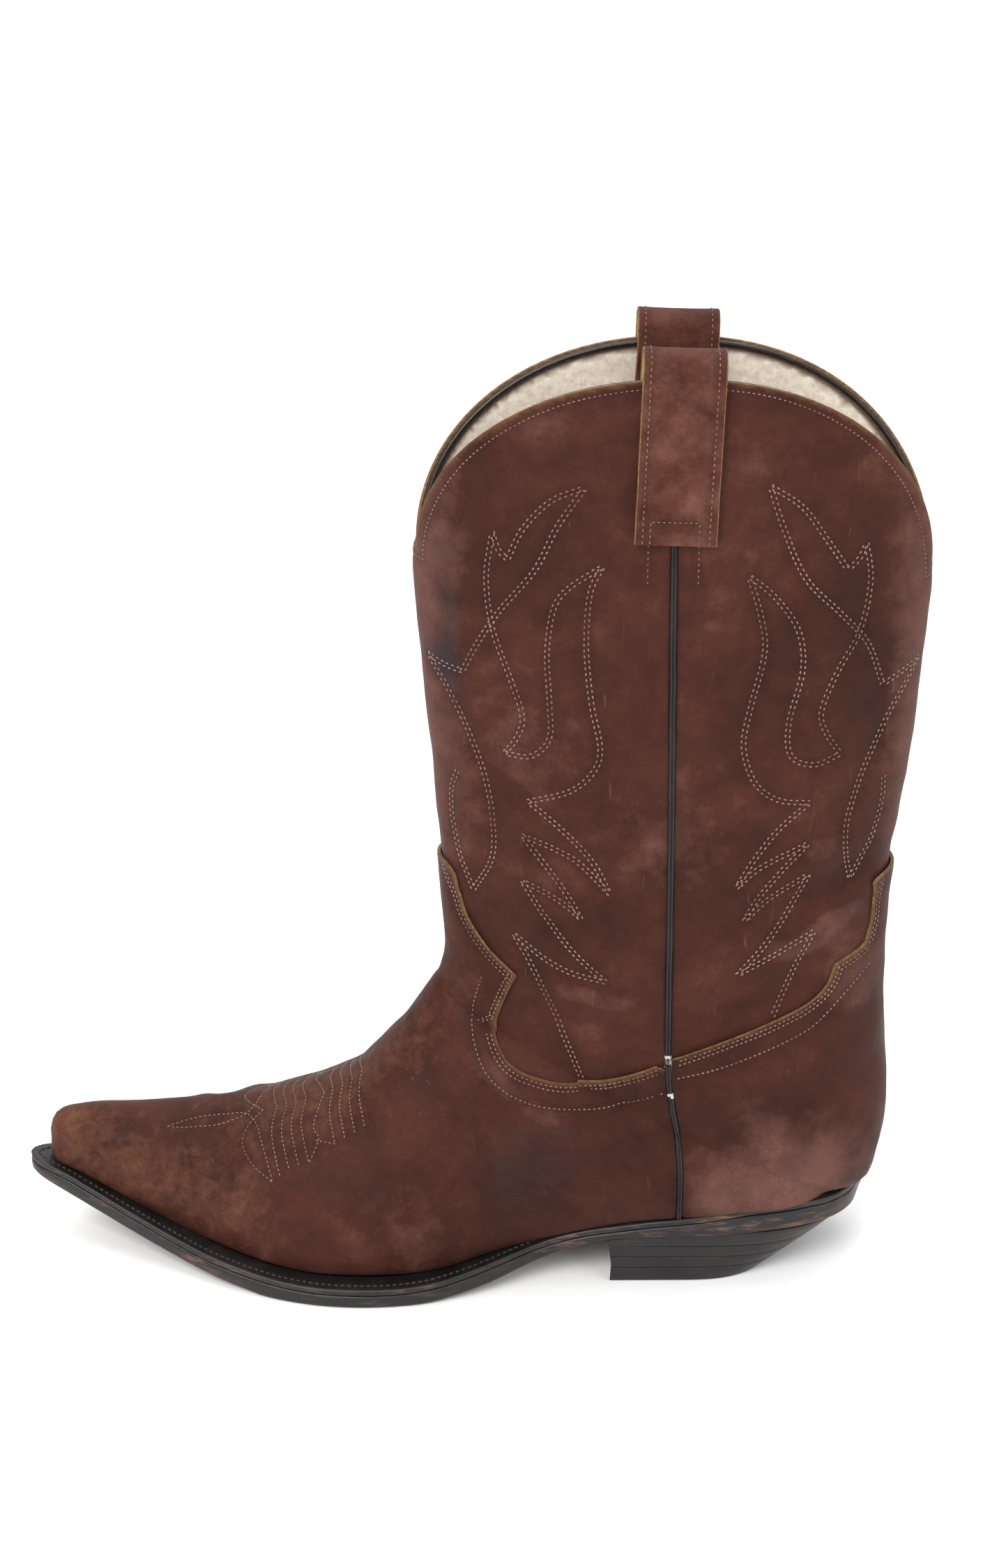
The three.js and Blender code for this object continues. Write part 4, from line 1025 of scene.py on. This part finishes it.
# Soft round places where the leather is worn: strength, then x, y, z and reach.
RUBBED = [
    (0.75, 40, -30, 40, 26), (0.5, 8, -38, 38, 16), (0.35, 20, -40, 70, 12), (0.4, -64, -34, 205, 26),
    (0.4, -12, -40, 175, 26), (0.5, 60, -20, 120, 18), (0.35, -82, -16, 112, 14),
    (0.3, -105, -40, 26, 30),
]
TANNED = [
    (0.75, -226, 5, 44, 16), (0.4, -190, -20, 32, 20), (0.5, -165, -32, 30, 16), (0.45, -150, 6, 56, 26),
    (0.4, -120, 0, 68, 22), (0.3, -205, -8, 30, 16), (0.4, -96, -12, 92, 14),
]
STAINED = [
    (0.45, -64, -34, 48, 22), (0.35, 30, -42, 84, 20), (0.3, -40, -42, 64, 26), (0.35, -120, -36, 58, 16),
]


def fold_relief(points):
    """Folds, dimples and slack in the leather, in millimetres."""
    rise = sum(height * noise_at(points, size, seed) for height, size, seed in SLACK)
    flat = points[:, (0, 2)]
    waver = 2.5 * noise_at(points, 22, 3)
    for line, half_width, depth in FOLDS:
        curve = spline(line, 4)
        distance = np.full(len(points), np.inf)
        along = np.zeros(len(points))
        for k, (a, b) in enumerate(zip(curve, curve[1:])):
            edge = b - a
            share = np.clip(((flat - a) @ edge) / (edge @ edge), 0, 1)
            here = np.linalg.norm(flat - a - share[:, None] * edge, axis=1)
            along = np.where(here < distance, (k + share) / (len(curve) - 1), along)
            distance = np.minimum(distance, here)
        fade = np.sin(math.pi * np.clip(along * 0.9 + 0.05, 0, 1))
        rise -= FOLD_DEPTH * depth * fade * np.exp(-((distance + waver) / half_width) ** 2)
    return rise


def sewn_relief(*threads):
    """The leather's folds, drawn down along its stitching."""
    stitches = np.concatenate([thread.points() for thread in threads])

    def relief(points):
        away = nearest(points, stitches)
        pull = STITCH_PULL * np.exp(-(away / 1.1) ** 2) + QUILT_PULL * np.exp(-(away / 4.5) ** 2)
        return np.maximum(fold_relief(points) - pull, -DEEPEST)

    return relief


def places(points, table):
    """The summed strength of a table's soft places at each point."""
    total = np.zeros(len(points))
    for strength, *centre, reach in table:
        total += strength * np.exp(-((points - centre) ** 2).sum(1) / reach ** 2)
    return total


def weather(piece, threads, worn=0.0, seam_shade=0.45):
    """Paints where the leather is rubbed, tanned, stained and shaded: wear plus a painted highlight on fold
    ridges, and painted shade along stitching, the side seam and fold hollows.
    """
    points = np.empty(len(piece.data.vertices) * 3)
    piece.data.vertices.foreach_get("co", points)
    points = points.reshape(-1, 3) / MM
    x, y, z = points.T
    near = nearest(points, np.concatenate([thread.points() for thread in threads]))
    rise = fold_relief(points)
    from_middle = np.abs(x + 11) / 84
    rub_and_highlight = worn + 0.55 * smooth(120, 180, z) * smooth(0.72, 1.0, from_middle)
    # Worn places, plus a painted highlight along the ridges of the folds.
    rub_and_highlight = rub_and_highlight + places(points, RUBBED) + 0.35 * smooth(0.25, 1.1, rise)
    front_stain = smooth(190, 232, z) * smooth(300, 258, z) * (0.75 + 0.6 * noise_at(points, 15, 6))
    front_stain = front_stain * np.exp(-((x + 88) / 8) ** 2) * smooth(14, -16, y)
    # Painted shade along stitching, in fold hollows and beside the side seam.
    shade = 0.5 * np.exp(-(near / 1.2) ** 2) + 0.22 * np.exp(-(near / 4) ** 2)
    shade = shade + 0.5 * smooth(-0.1, -1.1, rise) + seam_shade * np.exp(-((x - seam_x(z)) / 3) ** 2)
    painted = {
        "rub_and_highlight": rub_and_highlight,
        "tan": places(points, TANNED),
        "stain": 0.95 * front_stain + places(points, STAINED),
        "shade": shade,
    }
    for name, values in painted.items():
        paint(piece, name, np.clip(values, 0, 1.2))


def seam_side(low, high, shift):
    """The side seam's line between two heights, shifted along x."""
    heights = np.linspace(low, high, 40)
    return np.stack([seam_x(heights) + shift, heights], 1)


def rim_outline(low_x, high_x, inset):
    """The top edge between two places, carried on level past its own end."""
    front, back = DIP_FRONT[0] + inset, DIP_BACK[0] - inset
    angle = np.linspace(0, math.pi, 121)
    x = lerp(front, back, (1 - np.cos(angle)) / 2)
    line = np.stack([x, top_edge(x, inset)], 1)
    line = line[(x > low_x) & (x < high_x)]
    if low_x < front:
        return np.concatenate([[(low_x, DIP_FRONT[1] - inset)], line, [(high_x, top_edge(high_x, inset))]])
    return np.concatenate([[(low_x, top_edge(low_x, inset))], line, [(high_x, DIP_BACK[1] - inset)]])


def vamp_outline(half_seam):
    """The vamp from the side, from below the sole to its winged top line."""
    top = line_of(VAMP_TOP)
    top = top[top[:, 0] < seam_x(top[:, 1]) - half_seam]
    return np.concatenate([
        [(-FAR, -20)], seam_side(-20, top[-1][1], -half_seam), top[::-1], [(-FAR, 158)]])


def counter_outline(half_seam):
    """The heel cover from the side, behind the seam and below its stepped top line."""
    top = line_of(COUNTER_TOP)
    top = top[top[:, 0] > seam_x(top[:, 1]) + half_seam]
    return np.concatenate([
        [(FAR, -20), (FAR, 156)], top[::-1], seam_side(top[0][1], -20, half_seam)])


def front_outline(low, inset, half_seam):
    """A front shaft piece from the side, above a lower edge."""
    edge = seam_side(low[-1][1], SEAM_TOP - inset, -half_seam)
    return np.concatenate([low[:-1], edge, rim_outline(-FAR, edge[-1][0], inset)[::-1]])


def back_outline(low, inset, half_seam):
    """A back shaft piece from the side, above a lower edge."""
    edge = seam_side(low[0][1], SEAM_TOP - inset, half_seam)
    return np.concatenate([rim_outline(edge[-1][0], FAR, inset), low[::-1][:-1], edge])


# Columns past the last's edge, where the leather hangs on as a hem under the insole.
HEM_COLUMNS = np.array([1.3, 1.65, 2])
FRONT_COLUMNS_END = 0.75


def whole_columns(count):
    """Columns over both sides of the last, hems included."""
    side = np.concatenate([np.linspace(0, 1, count), HEM_COLUMNS])
    return [np.concatenate([-side[::-1], side[1:]])]


def back_columns(count):
    """Columns over the back of each side, which meet behind the heel."""
    side = np.concatenate([np.linspace(0.3, 1, count), HEM_COLUMNS])
    return [side, -side[::-1]]


def front_columns(count):
    """Columns over the ridge, as far as the leather in front of the side seams reaches."""
    half = np.linspace(0, 1, count)
    half = half[half < FRONT_COLUMNS_END]
    return [np.concatenate([-half[::-1], half[1:]])]


def make_upper():
    """The four outside leathers."""
    outside = [FINISH["nubuck"], FINISH["edge"]]
    front_threads = [*shaft_threads["front"].values(), rim_thread, fixing_thread]
    back_threads = [*shaft_threads["back"].values(), rim_thread, fixing_thread]
    foot, shaft = (LEATHER + GAP, FOOT_FACE), (0, SHAFT_FACE)
    vamp = leather(
        "vamp_leather", whole_columns(66), rows_of(0, FOOT_ROWS_END, 1.7),
        vamp_outline(SEAM_HALF_WIDTH), foot, outside, sewn_relief(vamp_thread, toe_thread))
    cover = leather(
        "heel_cover_leather", back_columns(60), rows_of(WAIST, FOOT_ROWS_END, 1.5),
        counter_outline(SEAM_HALF_WIDTH), foot, outside, sewn_relief(counter_thread))
    front = leather(
        "front_shaft_leather", front_columns(130), rows_of(WAIST, TOP_SECTION, 1.5),
        front_outline(FRONT_TUCK, 0, SEAM_HALF_WIDTH), shaft, outside, sewn_relief(*front_threads))
    back = leather(
        "back_shaft_leather", back_columns(90), rows_of(WAIST, TOP_SECTION, 1.5),
        back_outline(BACK_TUCK, 0, SEAM_HALF_WIDTH), shaft, outside, sewn_relief(*back_threads))
    for piece, node, threads in (
        (vamp, "vamp", [vamp_thread, toe_thread]), (cover, "heel_cover", [counter_thread]),
        (front, "front_shaft_panel", front_threads), (back, "back_shaft_panel", back_threads),
    ):
        weather(piece, threads)
        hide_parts(node)


def make_threads():
    for place, sides in shaft_threads.items():
        for label, thread in sides.items():
            thread.build(f"{place}_shaft_stitching_{label}", FINISH["thread"])
    rim_thread.build("top_edge_stitching", FINISH["thread"], length=1.0, radius=0.27)
    fixing_thread.build("strap_fixing_stitching", FINISH["thread"], length=1.0, radius=0.27)
    vamp_thread.build("vamp_stitching", FINISH["pale_thread"], length=1.05, radius=0.29)
    counter_thread.build("heel_cover_stitching", FINISH["pale_thread"], length=1.05, radius=0.29)
    toe_thread.build("toe_stitching", FINISH["pale_thread"], length=1.1, radius=0.23)


def make_linings():
    """The napped linings of the shaft, rough on the side that shows."""
    inset = 2 * BEAD_RADIUS + 4 * GAP
    thin = (-GAP, -GAP - LINING)
    both = [FINISH["lining"], FINISH["lining"]]
    low = line_of(VAMP_TOP) + 0.4
    bottom = np.array([(0, -20), (FAR, -20)])
    front = leather(
        "front_lining_leather", front_columns(90), rows_of(WAIST, TOP_SECTION, 2.5),
        front_outline(low, inset, 0), thin, both, edge_round=-0.4)
    back = leather(
        "back_lining_leather", back_columns(60), rows_of(WAIST, TOP_SECTION, 2.5),
        back_outline(bottom, inset, GAP), thin, both, edge_round=-0.4)
    for piece, node in ((front, "front_shaft_lining"), (back, "back_shaft_lining")):
        piece.data.flip_normals()
        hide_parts(node)


# ------------------------------------------------------------------ piping and bead

# Folded piping: two rolls side by side with a groove between them. Half of it, from the groove down.
PIPING_HALF = [(-0.2, 0.5), (-0.45, 0.86), (-0.85, 0.92), (-1.25, 0.55), (-1.45, -0.1), (-1.42, -1.1)]
PIPING_PROFILE = [(-x, y) for x, y in PIPING_HALF[::-1]] + [(0, 0.42)] + PIPING_HALF
PIPING_SUNK = 0.5


def piping_run(name, heights, side, offset, node, pale_from, size):
    """A run of folded piping in the side seam; its cut upper or lower end shows the pale core."""
    z = np.arange(heights[0], heights[1], 1.0)
    t, s = locate(np.stack([seam_x(z), z], 1), side, offset)
    path, out = offset_point(t, s, offset), last_normal(t, s)
    path[:, 0] += 0.15 * np.array([noise.noise(Vector((0, side, h / 12))) for h in z])
    under_strap = smooth(STRAP["foot"] - 13, STRAP["foot"] - 1, z)
    path -= out * (PIPING_SUNK * under_strap)[:, None]
    vertices, faces = sweep(path, out, size * np.array(PIPING_PROFILE))
    middle = np.array([vertices[face].mean(0)[2] for face in faces])
    pale = (middle > pale_from[0]) & (middle < pale_from[1])
    piece = mesh_object(name, vertices, faces, [FINISH["cord"], FINISH["cord_end"]], pale.astype(int))
    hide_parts(node)
    return piece


def make_piping():
    for label, side in BOTH_SIDES:
        piping_run(f"shaft_piping_cord_{label}", (92.5, SEAM_TOP), side, SHAFT_FACE - 0.25,
                   f"shaft_piping_{label}", (92, 93.6), 0.8)
        piping_run(f"foot_piping_cord_{label}", (27.5, 91.5), side, FOOT_FACE - 0.4,
                   f"foot_piping_{label}", (78, 79.4), 0.72)


def make_bead():
    """The glossy bead along the inside of the top edge, in a front and a back half."""
    inset = GAP + BEAD_RADIUS
    offset = -2 * GAP - BEAD_RADIUS
    ring = [(BEAD_RADIUS * math.cos(a), BEAD_RADIUS * math.sin(a)) for a in circle_angles(12)]
    halves = {
        "top_bead_front": np.linspace(-0.497, 0.497, 160),
        "top_bead_back": np.concatenate([np.linspace(0.503, 1, 80), np.linspace(-1, -0.503, 80)[1:]]),
    }
    for node, columns in halves.items():
        t = top_edge_section(columns, inset)
        path = offset_point(t, columns, offset)
        vertices, faces = sweep(path, last_normal(t, columns), ring)
        piece = mesh_object(f"{node}_cord", vertices, faces, [FINISH["bead"]])
        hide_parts(node)


# ------------------------------------------------------------------ pull straps


def shaft_side_y(z):
    """Half the last's width at the middle of the shaft's side."""
    t = np.linspace(16, TOP_SECTION, 200)
    points = last_point(t, np.full(200, 0.5))
    return np.interp(z, points[:, 2], points[:, 1])


def strap_path():
    """The loop's middle line as (distance from the centre plane, z), outer foot to inner foot."""
    thickness = STRAP["leather"] + GAP + STRAP["lining"]
    out = [(shaft_side_y(z) + LEATHER + clear + thickness / 2, z) for z, clear in STRAP_OUTSIDE]
    inside = [(shaft_side_y(z) - GAP - LINING - clear - thickness / 2, z) for z, clear in STRAP_INSIDE]
    crest = STRAP["crest"] - thickness / 2
    arc = []
    for k in range(1, 8):
        angle = math.pi * k / 8
        arc.append((lerp(out[-1][0], inside[0][0], (1 - math.cos(angle)) / 2),
                    lerp(339, crest, math.sin(angle) ** 0.7)))
    return resampled(spline([*out, *arc, *inside], 12), 110)


def strap_place(away, z, across, side):
    """A point of a strap, from its own frame to the boot's: the loop leans back towards its crest."""
    lean = STRAP["lean"]
    up = z - STRAP["foot"]
    return np.stack([
        STRAP["centre"] + across * math.cos(lean) + up * math.sin(lean),
        side * away,
        STRAP["foot"] - across * math.sin(lean) + up * math.cos(lean)], -1)


def strap_normals(path):
    """Normals of the loop's middle line, away from its hollow."""
    ahead = np.gradient(path, axis=0)
    ahead /= np.linalg.norm(ahead, axis=1, keepdims=True)
    return np.stack([ahead[:, 1], -ahead[:, 0]], 1)


def strap_layer(name, side, low, high, width, materials, body, crown):
    """A strip of the loop between two offsets of its middle line, with rolled edges."""
    path = strap_path()
    normals = strap_normals(path)
    edge_radius = 0.42 * (high - low)
    profile = np.array(rounded_bar(width, high - low, edge_radius, 4, across=12))
    profile[:, 1] += (low + high) / 2
    share = profile[:, 0] / (width / 2)
    rings = []
    for i, (point, out) in enumerate(zip(path, normals)):
        wave = crown * (0.5 * noise.noise(Vector((i / 14, side, 0))) - 0.35)
        bulge = wave * (1 - share ** 2)
        ripple = 1 + 0.012 * noise.noise(Vector((i / 9, side * 3, 2)))
        away = point[0] + out[0] * (profile[:, 1] + bulge)
        z = point[1] + out[1] * (profile[:, 1] + bulge)
        rings.append(strap_place(away, z, profile[:, 0] * ripple, side))
    vertices = np.concatenate(rings)
    size = len(path), len(profile)
    faces = ring_faces(*size) + ring_ends(*size)
    if side > 0:
        faces = [face[::-1] for face in faces]
    flat = np.abs(profile[:, 0]) < width / 2 - edge_radius + 0.05
    cut = ~(flat | np.roll(flat, -1))
    slots = [*np.tile(cut, len(path) - 1), 1, 1]
    return mesh_object(name, vertices, faces, materials, slots, body=body, sharp=50)


def strap_thread(side):
    """A row along each edge of the loop, and the bars that hold its feet."""
    thread = Thread()
    path = strap_path()
    normals = strap_normals(path)
    face = STRAP["leather"] + (STRAP["lining"] + GAP - STRAP["leather"]) / 2
    on_face = path + normals * face
    inset = STRAP["width"] / 2 - 2.6
    outs = strap_place(path[:, 0] + normals[:, 0], path[:, 1] + normals[:, 1], 0 * path[:, 0], side)
    outs = outs - strap_place(path[:, 0], path[:, 1], 0 * path[:, 0], side)
    for across in (-inset, inset):
        thread.row(strap_place(on_face[:, 0], on_face[:, 1], across + 0 * path[:, 0], side), outs)
    width = np.linspace(-8.5, 7.5, 12)
    under_crest = np.argmax((path[:, 0] < path[0, 0] - 4) & (path[:, 1] < STRAP["crest"] - 11))
    for index in (6, under_crest, len(path) - 6):
        away = on_face[index, 0] + 0 * width
        row = strap_place(away, on_face[index, 1] + 0 * width, width, side)
        thread.row(row, outs[[index] * len(width)], pitch=FINE_PITCH)
    for across in (width[0], width[-1]):
        thread.row(strap_place(on_face[:7, 0], on_face[:7, 1], across + 0 * path[:7, 0], side), outs[:7])
    return thread


def make_straps():
    """Both pull straps: leather, lining and stitching."""
    half = (STRAP["leather"] + GAP + STRAP["lining"]) / 2
    for label, side in BOTH_SIDES:
        body = f"pull_strap_{label}"
        strap = strap_layer(f"{body}_leather", side, half - STRAP["leather"], half, STRAP["width"],
                            [FINISH["strap"], FINISH["edge"]], body, 0.7)
        lining = strap_layer(f"{body}_inside", side, -half, -half + STRAP["lining"], STRAP["width"] - 0.6,
                             [FINISH["strap_lining"], FINISH["strap_lining"]], body, 0.7)
        thread = strap_thread(side)
        weather(strap, [thread], worn=0.3, seam_shade=0)
        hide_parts(body)
        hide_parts(f"pull_strap_lining_{label}")
        thread.build(f"{body}_stitching", FINISH["red_thread"], body, radius=0.28, follow=False)


# ------------------------------------------------------------------ bottom


def sole_ring(count=136):
    """The outsole's closed plan, each outer point paired with an inner one at the same x."""
    x = lerp(SOLE_OUTER[0][0], SOLE_OUTER[-1][0], (1 - np.cos(np.linspace(0, math.pi, count))) / 2)
    sides = []
    for line in (SOLE_OUTER, SOLE_INNER):
        curve = spline(line, 8)
        curve = curve[np.argsort(curve[:, 0])]
        sides.append(np.stack([x, np.interp(x, curve[:, 0], curve[:, 1])], 1))
    outer, inner = sides
    return np.concatenate([outer, inner[::-1][1:-1]])


def plan_inset(ring, distance):
    """A closed plan ring moved inwards."""
    ahead = np.roll(ring, -1, axis=0) - np.roll(ring, 1, axis=0)
    ahead /= np.linalg.norm(ahead, axis=1, keepdims=True)
    return ring + np.stack([-ahead[:, 1], ahead[:, 0]], 1) * distance


def plan_cap(start, count):
    """Faces across a plan ring, between its paired outer and inner points."""
    faces = []
    for j in range(count // 2):
        outer, next_outer = start + j, start + j + 1
        next_inner, inner = start + (count - j - 1) % count, start + (count - j) % count
        if j == 0:
            faces.append([outer, next_outer, next_inner])
        elif next_outer == next_inner:
            faces.append([outer, next_outer, inner])
        else:
            faces.append([outer, next_outer, next_inner, inner])
    return faces


def slab(name, ring, low, high, radius, material, node, face_material=None, hollow=None):
    """A slab between two height profiles, with rounded edges, capped across or left open inside."""
    steps = 4
    quarter = [math.pi / 2 * k / steps for k in range(steps + 1)]
    profile = [(radius * (1 - math.sin(a)), 0, radius * (1 - math.cos(a))) for a in quarter]
    profile += [(radius * (1 - math.cos(a)), 1, -radius * (1 - math.sin(a))) for a in quarter]
    if hollow:
        profile = [(hollow, 0, 0), *profile, (hollow, 1, 0)]
    rings = []
    middle = np.interp(ring[:, 0], SECTIONS[:13, 2], SECTIONS[:13, 4])
    for inset, level, lift in profile:
        moved = plan_inset(ring, inset)
        crossed = (ring[:, 1] < middle) != (moved[:, 1] < middle)
        moved[:, 1] = np.where(crossed & (np.abs(ring[:, 1] - middle) > 0.5), middle, moved[:, 1])
        x, y = moved.T
        rings.append(np.stack([x, y, lerp(low(x), high(x), level) + lift], 1))
    count = len(ring)
    under = 1 if face_material else 0
    faces = ring_faces(len(rings), count, closed=bool(hollow))
    slots = [under] * count + [0] * (len(faces) - count)
    if not hollow:
        low_cap = [face[::-1] for face in plan_cap(0, count)]
        high_cap = plan_cap((len(rings) - 1) * count, count)
        faces += low_cap + high_cap
        slots += [under] * len(low_cap) + [0] * len(high_cap)
    materials = [material, face_material or material]
    piece = mesh_object(name, np.concatenate(rings), faces, materials, slots, sharp=60)
    bruised = [float(inset < radius * 0.5) for inset, _, _ in profile]
    paint(piece, "bruise", np.repeat(bruised, count))
    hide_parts(node)
    return piece


def welt_top(x):
    """Height of the welt's upper face, just under the leather."""
    return feather(x) - GAP


def welt_low(x):
    return welt_top(x) - WELT_THICKNESS


def sole_top(x):
    return welt_low(x) - SOLE_JOINT


def make_sole():
    """The outsole, and the welt with its row of stitches."""
    ring = sole_ring()
    sole = slab("outsole_leather", ring, walking_face, sole_top, 1.1, FINISH["welt"], "outsole",
                face_material=FINISH["tread"])
    welt = slab("welt_strip", ring, welt_low, welt_top, 0.9, FINISH["welt"], "welt", hollow=9)
    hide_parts("heel_rand")
    row = np.roll(plan_inset(ring, WELT_ROW_INSET), -np.argmax(ring[:, 0]), axis=0)
    row = row[row[:, 0] < WELT_ROW_END]
    path = np.column_stack([row, welt_top(row[:, 0]) + 0.12])
    thread = Thread()
    thread.row(path, np.tile([0.0, 0.0, 1.0], (len(path), 1)), pitch=2.3)
    piece = thread.build("welt_stitching", FINISH["dark_thread"], length=1.8, radius=0.4, follow=False)


def heel_section(z, steps=28):
    """One closed outline of the heel at a height: straight breast, rounded back."""
    heights = [row[0] for row in HEEL_RINGS]
    breast, back, half = (np.interp(z, heights, [row[k] for row in HEEL_RINGS]) for k in (1, 2, 3))
    straight = lerp(breast, back, 0.45)
    angle = np.linspace(-math.pi / 2, math.pi / 2, 2 * steps + 1)
    across = np.sign(np.sin(angle)) * np.abs(np.sin(angle)) ** (2 / HEEL_FULLNESS)
    behind = np.abs(np.cos(angle)) ** (2 / HEEL_FULLNESS)
    curve = np.stack([straight + (back - straight) * behind, half * across], 1)
    y = np.linspace(half, -half, 15)[1:-1]
    front = np.stack([breast + BREAST_HOLLOW * (1 - (y / half) ** 2), y], 1)
    side = np.stack([np.linspace(straight, breast, 6)[1:], np.full(5, half)], 1)
    return np.concatenate([curve, side, front, side[::-1] * (1, -1)])


def heel_slab(name, low, high, material, node, top=None, groove=0.35):
    """One lift of the heel between two heights, its edges eased so that the joints show."""
    heights = [low, low + groove * 0.4, low + groove, lerp(low, high, 0.33), lerp(low, high, 0.66),
               high - groove, high - groove * 0.4, high]
    inset = [groove, groove * 0.35, 0, 0, 0, 0, groove * 0.35, groove]
    rings = []
    for z, shrink in zip(heights, inset):
        outline = heel_section(z)
        centre = outline.mean(0)
        size = np.abs(outline - centre).max(0)
        moved = centre + (outline - centre) * (1 - shrink / size)
        level = np.full(len(moved), z)
        if top is not None:
            level = lerp(low, top(moved[:, 0]) - HEEL_JOINT, (z - low) / (high - low))
        rings.append(np.column_stack([moved, level]))
    size = len(rings), len(rings[0])
    vertices = np.concatenate(rings)
    piece = mesh_object(name, vertices, ring_faces(*size) + ring_ends(*size), [material], sharp=50)
    paint(piece, "bruise", 0.35 + 0.65 * np.exp(-vertices[:, 2] / 2))
    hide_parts(node)
    return piece


def nail_head(name, x, y, sides=12):
    """A low domed head, set into the top lift's walking face."""
    tip = -0.16
    rings = [(0.9, -0.12), (1.5, 0.02), (1.7, 0.3), (1.7, 0.6)]
    vertices = [(x, y, tip)]
    angles = circle_angles(sides)
    for radius, z in rings:
        vertices += [(x + radius * math.cos(a), y + radius * math.sin(a), z) for a in angles]
    faces = [[0, 1 + (j + 1) % sides, 1 + j] for j in range(sides)]
    shell = [*ring_faces(len(rings), sides), ring_ends(len(rings), sides)[1]]
    faces += [[k + 1 for k in face] for face in shell]
    return mesh_object(name, vertices, faces, [FINISH["steel"]])


def make_heel():
    """The heel's stack from the ground up: top lift, two lifts and the wedge."""
    lift = heel_slab("top_lift_rubber", 0, TOP_LIFT, FINISH["heel"], "top_lift")
    floor = TOP_LIFT + HEEL_JOINT
    step = HEEL_LIFT + GAP
    for number in (1, 2):
        piece = heel_slab(f"heel_lift_leather_{number}", floor, floor + step - HEEL_JOINT, FINISH["heel"],
                          f"heel_lift_{number}")
        floor += step
    wedge = heel_slab("heel_wedge_leather", floor, 19.5, FINISH["heel"], "heel_wedge", top=walking_face)
    for k, (x, y) in enumerate(TOP_LIFT_NAILS):
        head = nail_head(f"top_lift_nail_head_{k + 1}", x, y)
        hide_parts(f"top_lift_nail_{k + 1}")


# ------------------------------------------------------------------ hidden CAD pieces

HIDDEN_FINISH = {
    "toe_box": "board", "vamp_interlining": "board", "counter_stiffener": "board", "insole": "board",
    "vamp_lining": "lining", "heel_sock": "lining", "cork_filler": "cork", "steel_shank": "steel",
}


def finish_hidden():
    """CAD nodes that keep their own shape get their materials."""
    finishes = dict(HIDDEN_FINISH)
    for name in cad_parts:
        if name.startswith("heel_nail"):
            finishes[name] = "steel"
    for name, finish in finishes.items():
        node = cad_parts[name]
        node.data.materials.clear()
        node.data.materials.append(FINISH[finish])


# ------------------------------------------------------------------ stage


def area_light(name, place, aim, size, power, colour=(1, 1, 1)):
    data = bpy.data.lights.new(name, "AREA")
    data.shape = "RECTANGLE"
    data.size, data.size_y = size
    data.energy = power
    data.color = colour
    lamp = bpy.data.objects.new(name, data)
    lamp.location = place
    lamp.rotation_euler = (Vector(aim) - Vector(place)).to_track_quat("-Z", "Y").to_euler()
    bpy.context.scene.collection.objects.link(lamp)


def make_stage():
    """A pale floor, an even surround and four soft lights."""
    floor_mesh = bpy.data.meshes.new("floor")
    reach = 6
    corners = [(x * reach, y * reach, 0) for x, y in ((-1, -1), (1, -1), (1, 1), (-1, 1))]
    floor_mesh.from_pydata(corners, [], [(0, 1, 2, 3)])
    g = Graph("pale_floor")
    speckle = g.noise(40, 3, 0.5)
    colour = g.ramp(speckle, [(0.3, (0.86, 0.86, 0.86)), (0.7, (0.90, 0.90, 0.90))])
    g.finish(colour, g.span(speckle, 0.3, 0.7, 0.7, 0.8), g.bump(speckle, 0.1, 0.2))
    floor_mesh.materials.append(g.material)
    floor = bpy.data.objects.new("floor", floor_mesh)
    floor.location.z = -0.0002
    bpy.context.scene.collection.objects.link(floor)
    world = bpy.data.worlds.new("studio")
    world.use_nodes = True
    background = world.node_tree.nodes["Background"]
    background.inputs["Color"].default_value = (1, 1, 1, 1)
    background.inputs["Strength"].default_value = 0.68
    bpy.context.scene.world = world
    middle = (-0.07, 0, 0.16)
    area_light("key", (-0.9, -1.5, 1.7), middle, (1.6, 1.2), 48)
    area_light("fill", (1.5, -1.2, 0.9), middle, (1.4, 1.4), 14)
    area_light("top", (-0.1, 0.5, 2.0), middle, (1.6, 1.6), 22)
    area_light("backdrop", (-0.1, 3.0, 2.4), (-0.1, 3.0, 0), (6, 3), 60)
    bpy.context.scene.view_settings.view_transform = "Standard"


def make_camera():
    """A view of the outer side from above, aimed at the boot's middle."""
    target = Vector((-71, 0, 183.5)) * MM
    distance, elevation, azimuth = 1250 * MM, math.radians(26.5), math.radians(-0.5)
    back = Vector((math.sin(azimuth) * math.cos(elevation), -math.cos(azimuth) * math.cos(elevation),
                   math.sin(elevation)))
    data = bpy.data.cameras.new("camera")
    data.lens = 83.6
    data.sensor_width = 36
    camera = bpy.data.objects.new("camera", data)
    camera.location = target + back * distance
    camera.rotation_euler = (-back).to_track_quat("-Z", "Y").to_euler()
    bpy.context.scene.collection.objects.link(camera)
    bpy.context.scene.camera = camera


make_camera()
make_stage()
make_upper()
make_threads()
make_linings()
make_piping()
make_bead()
make_straps()
make_sole()
make_heel()
finish_hidden()
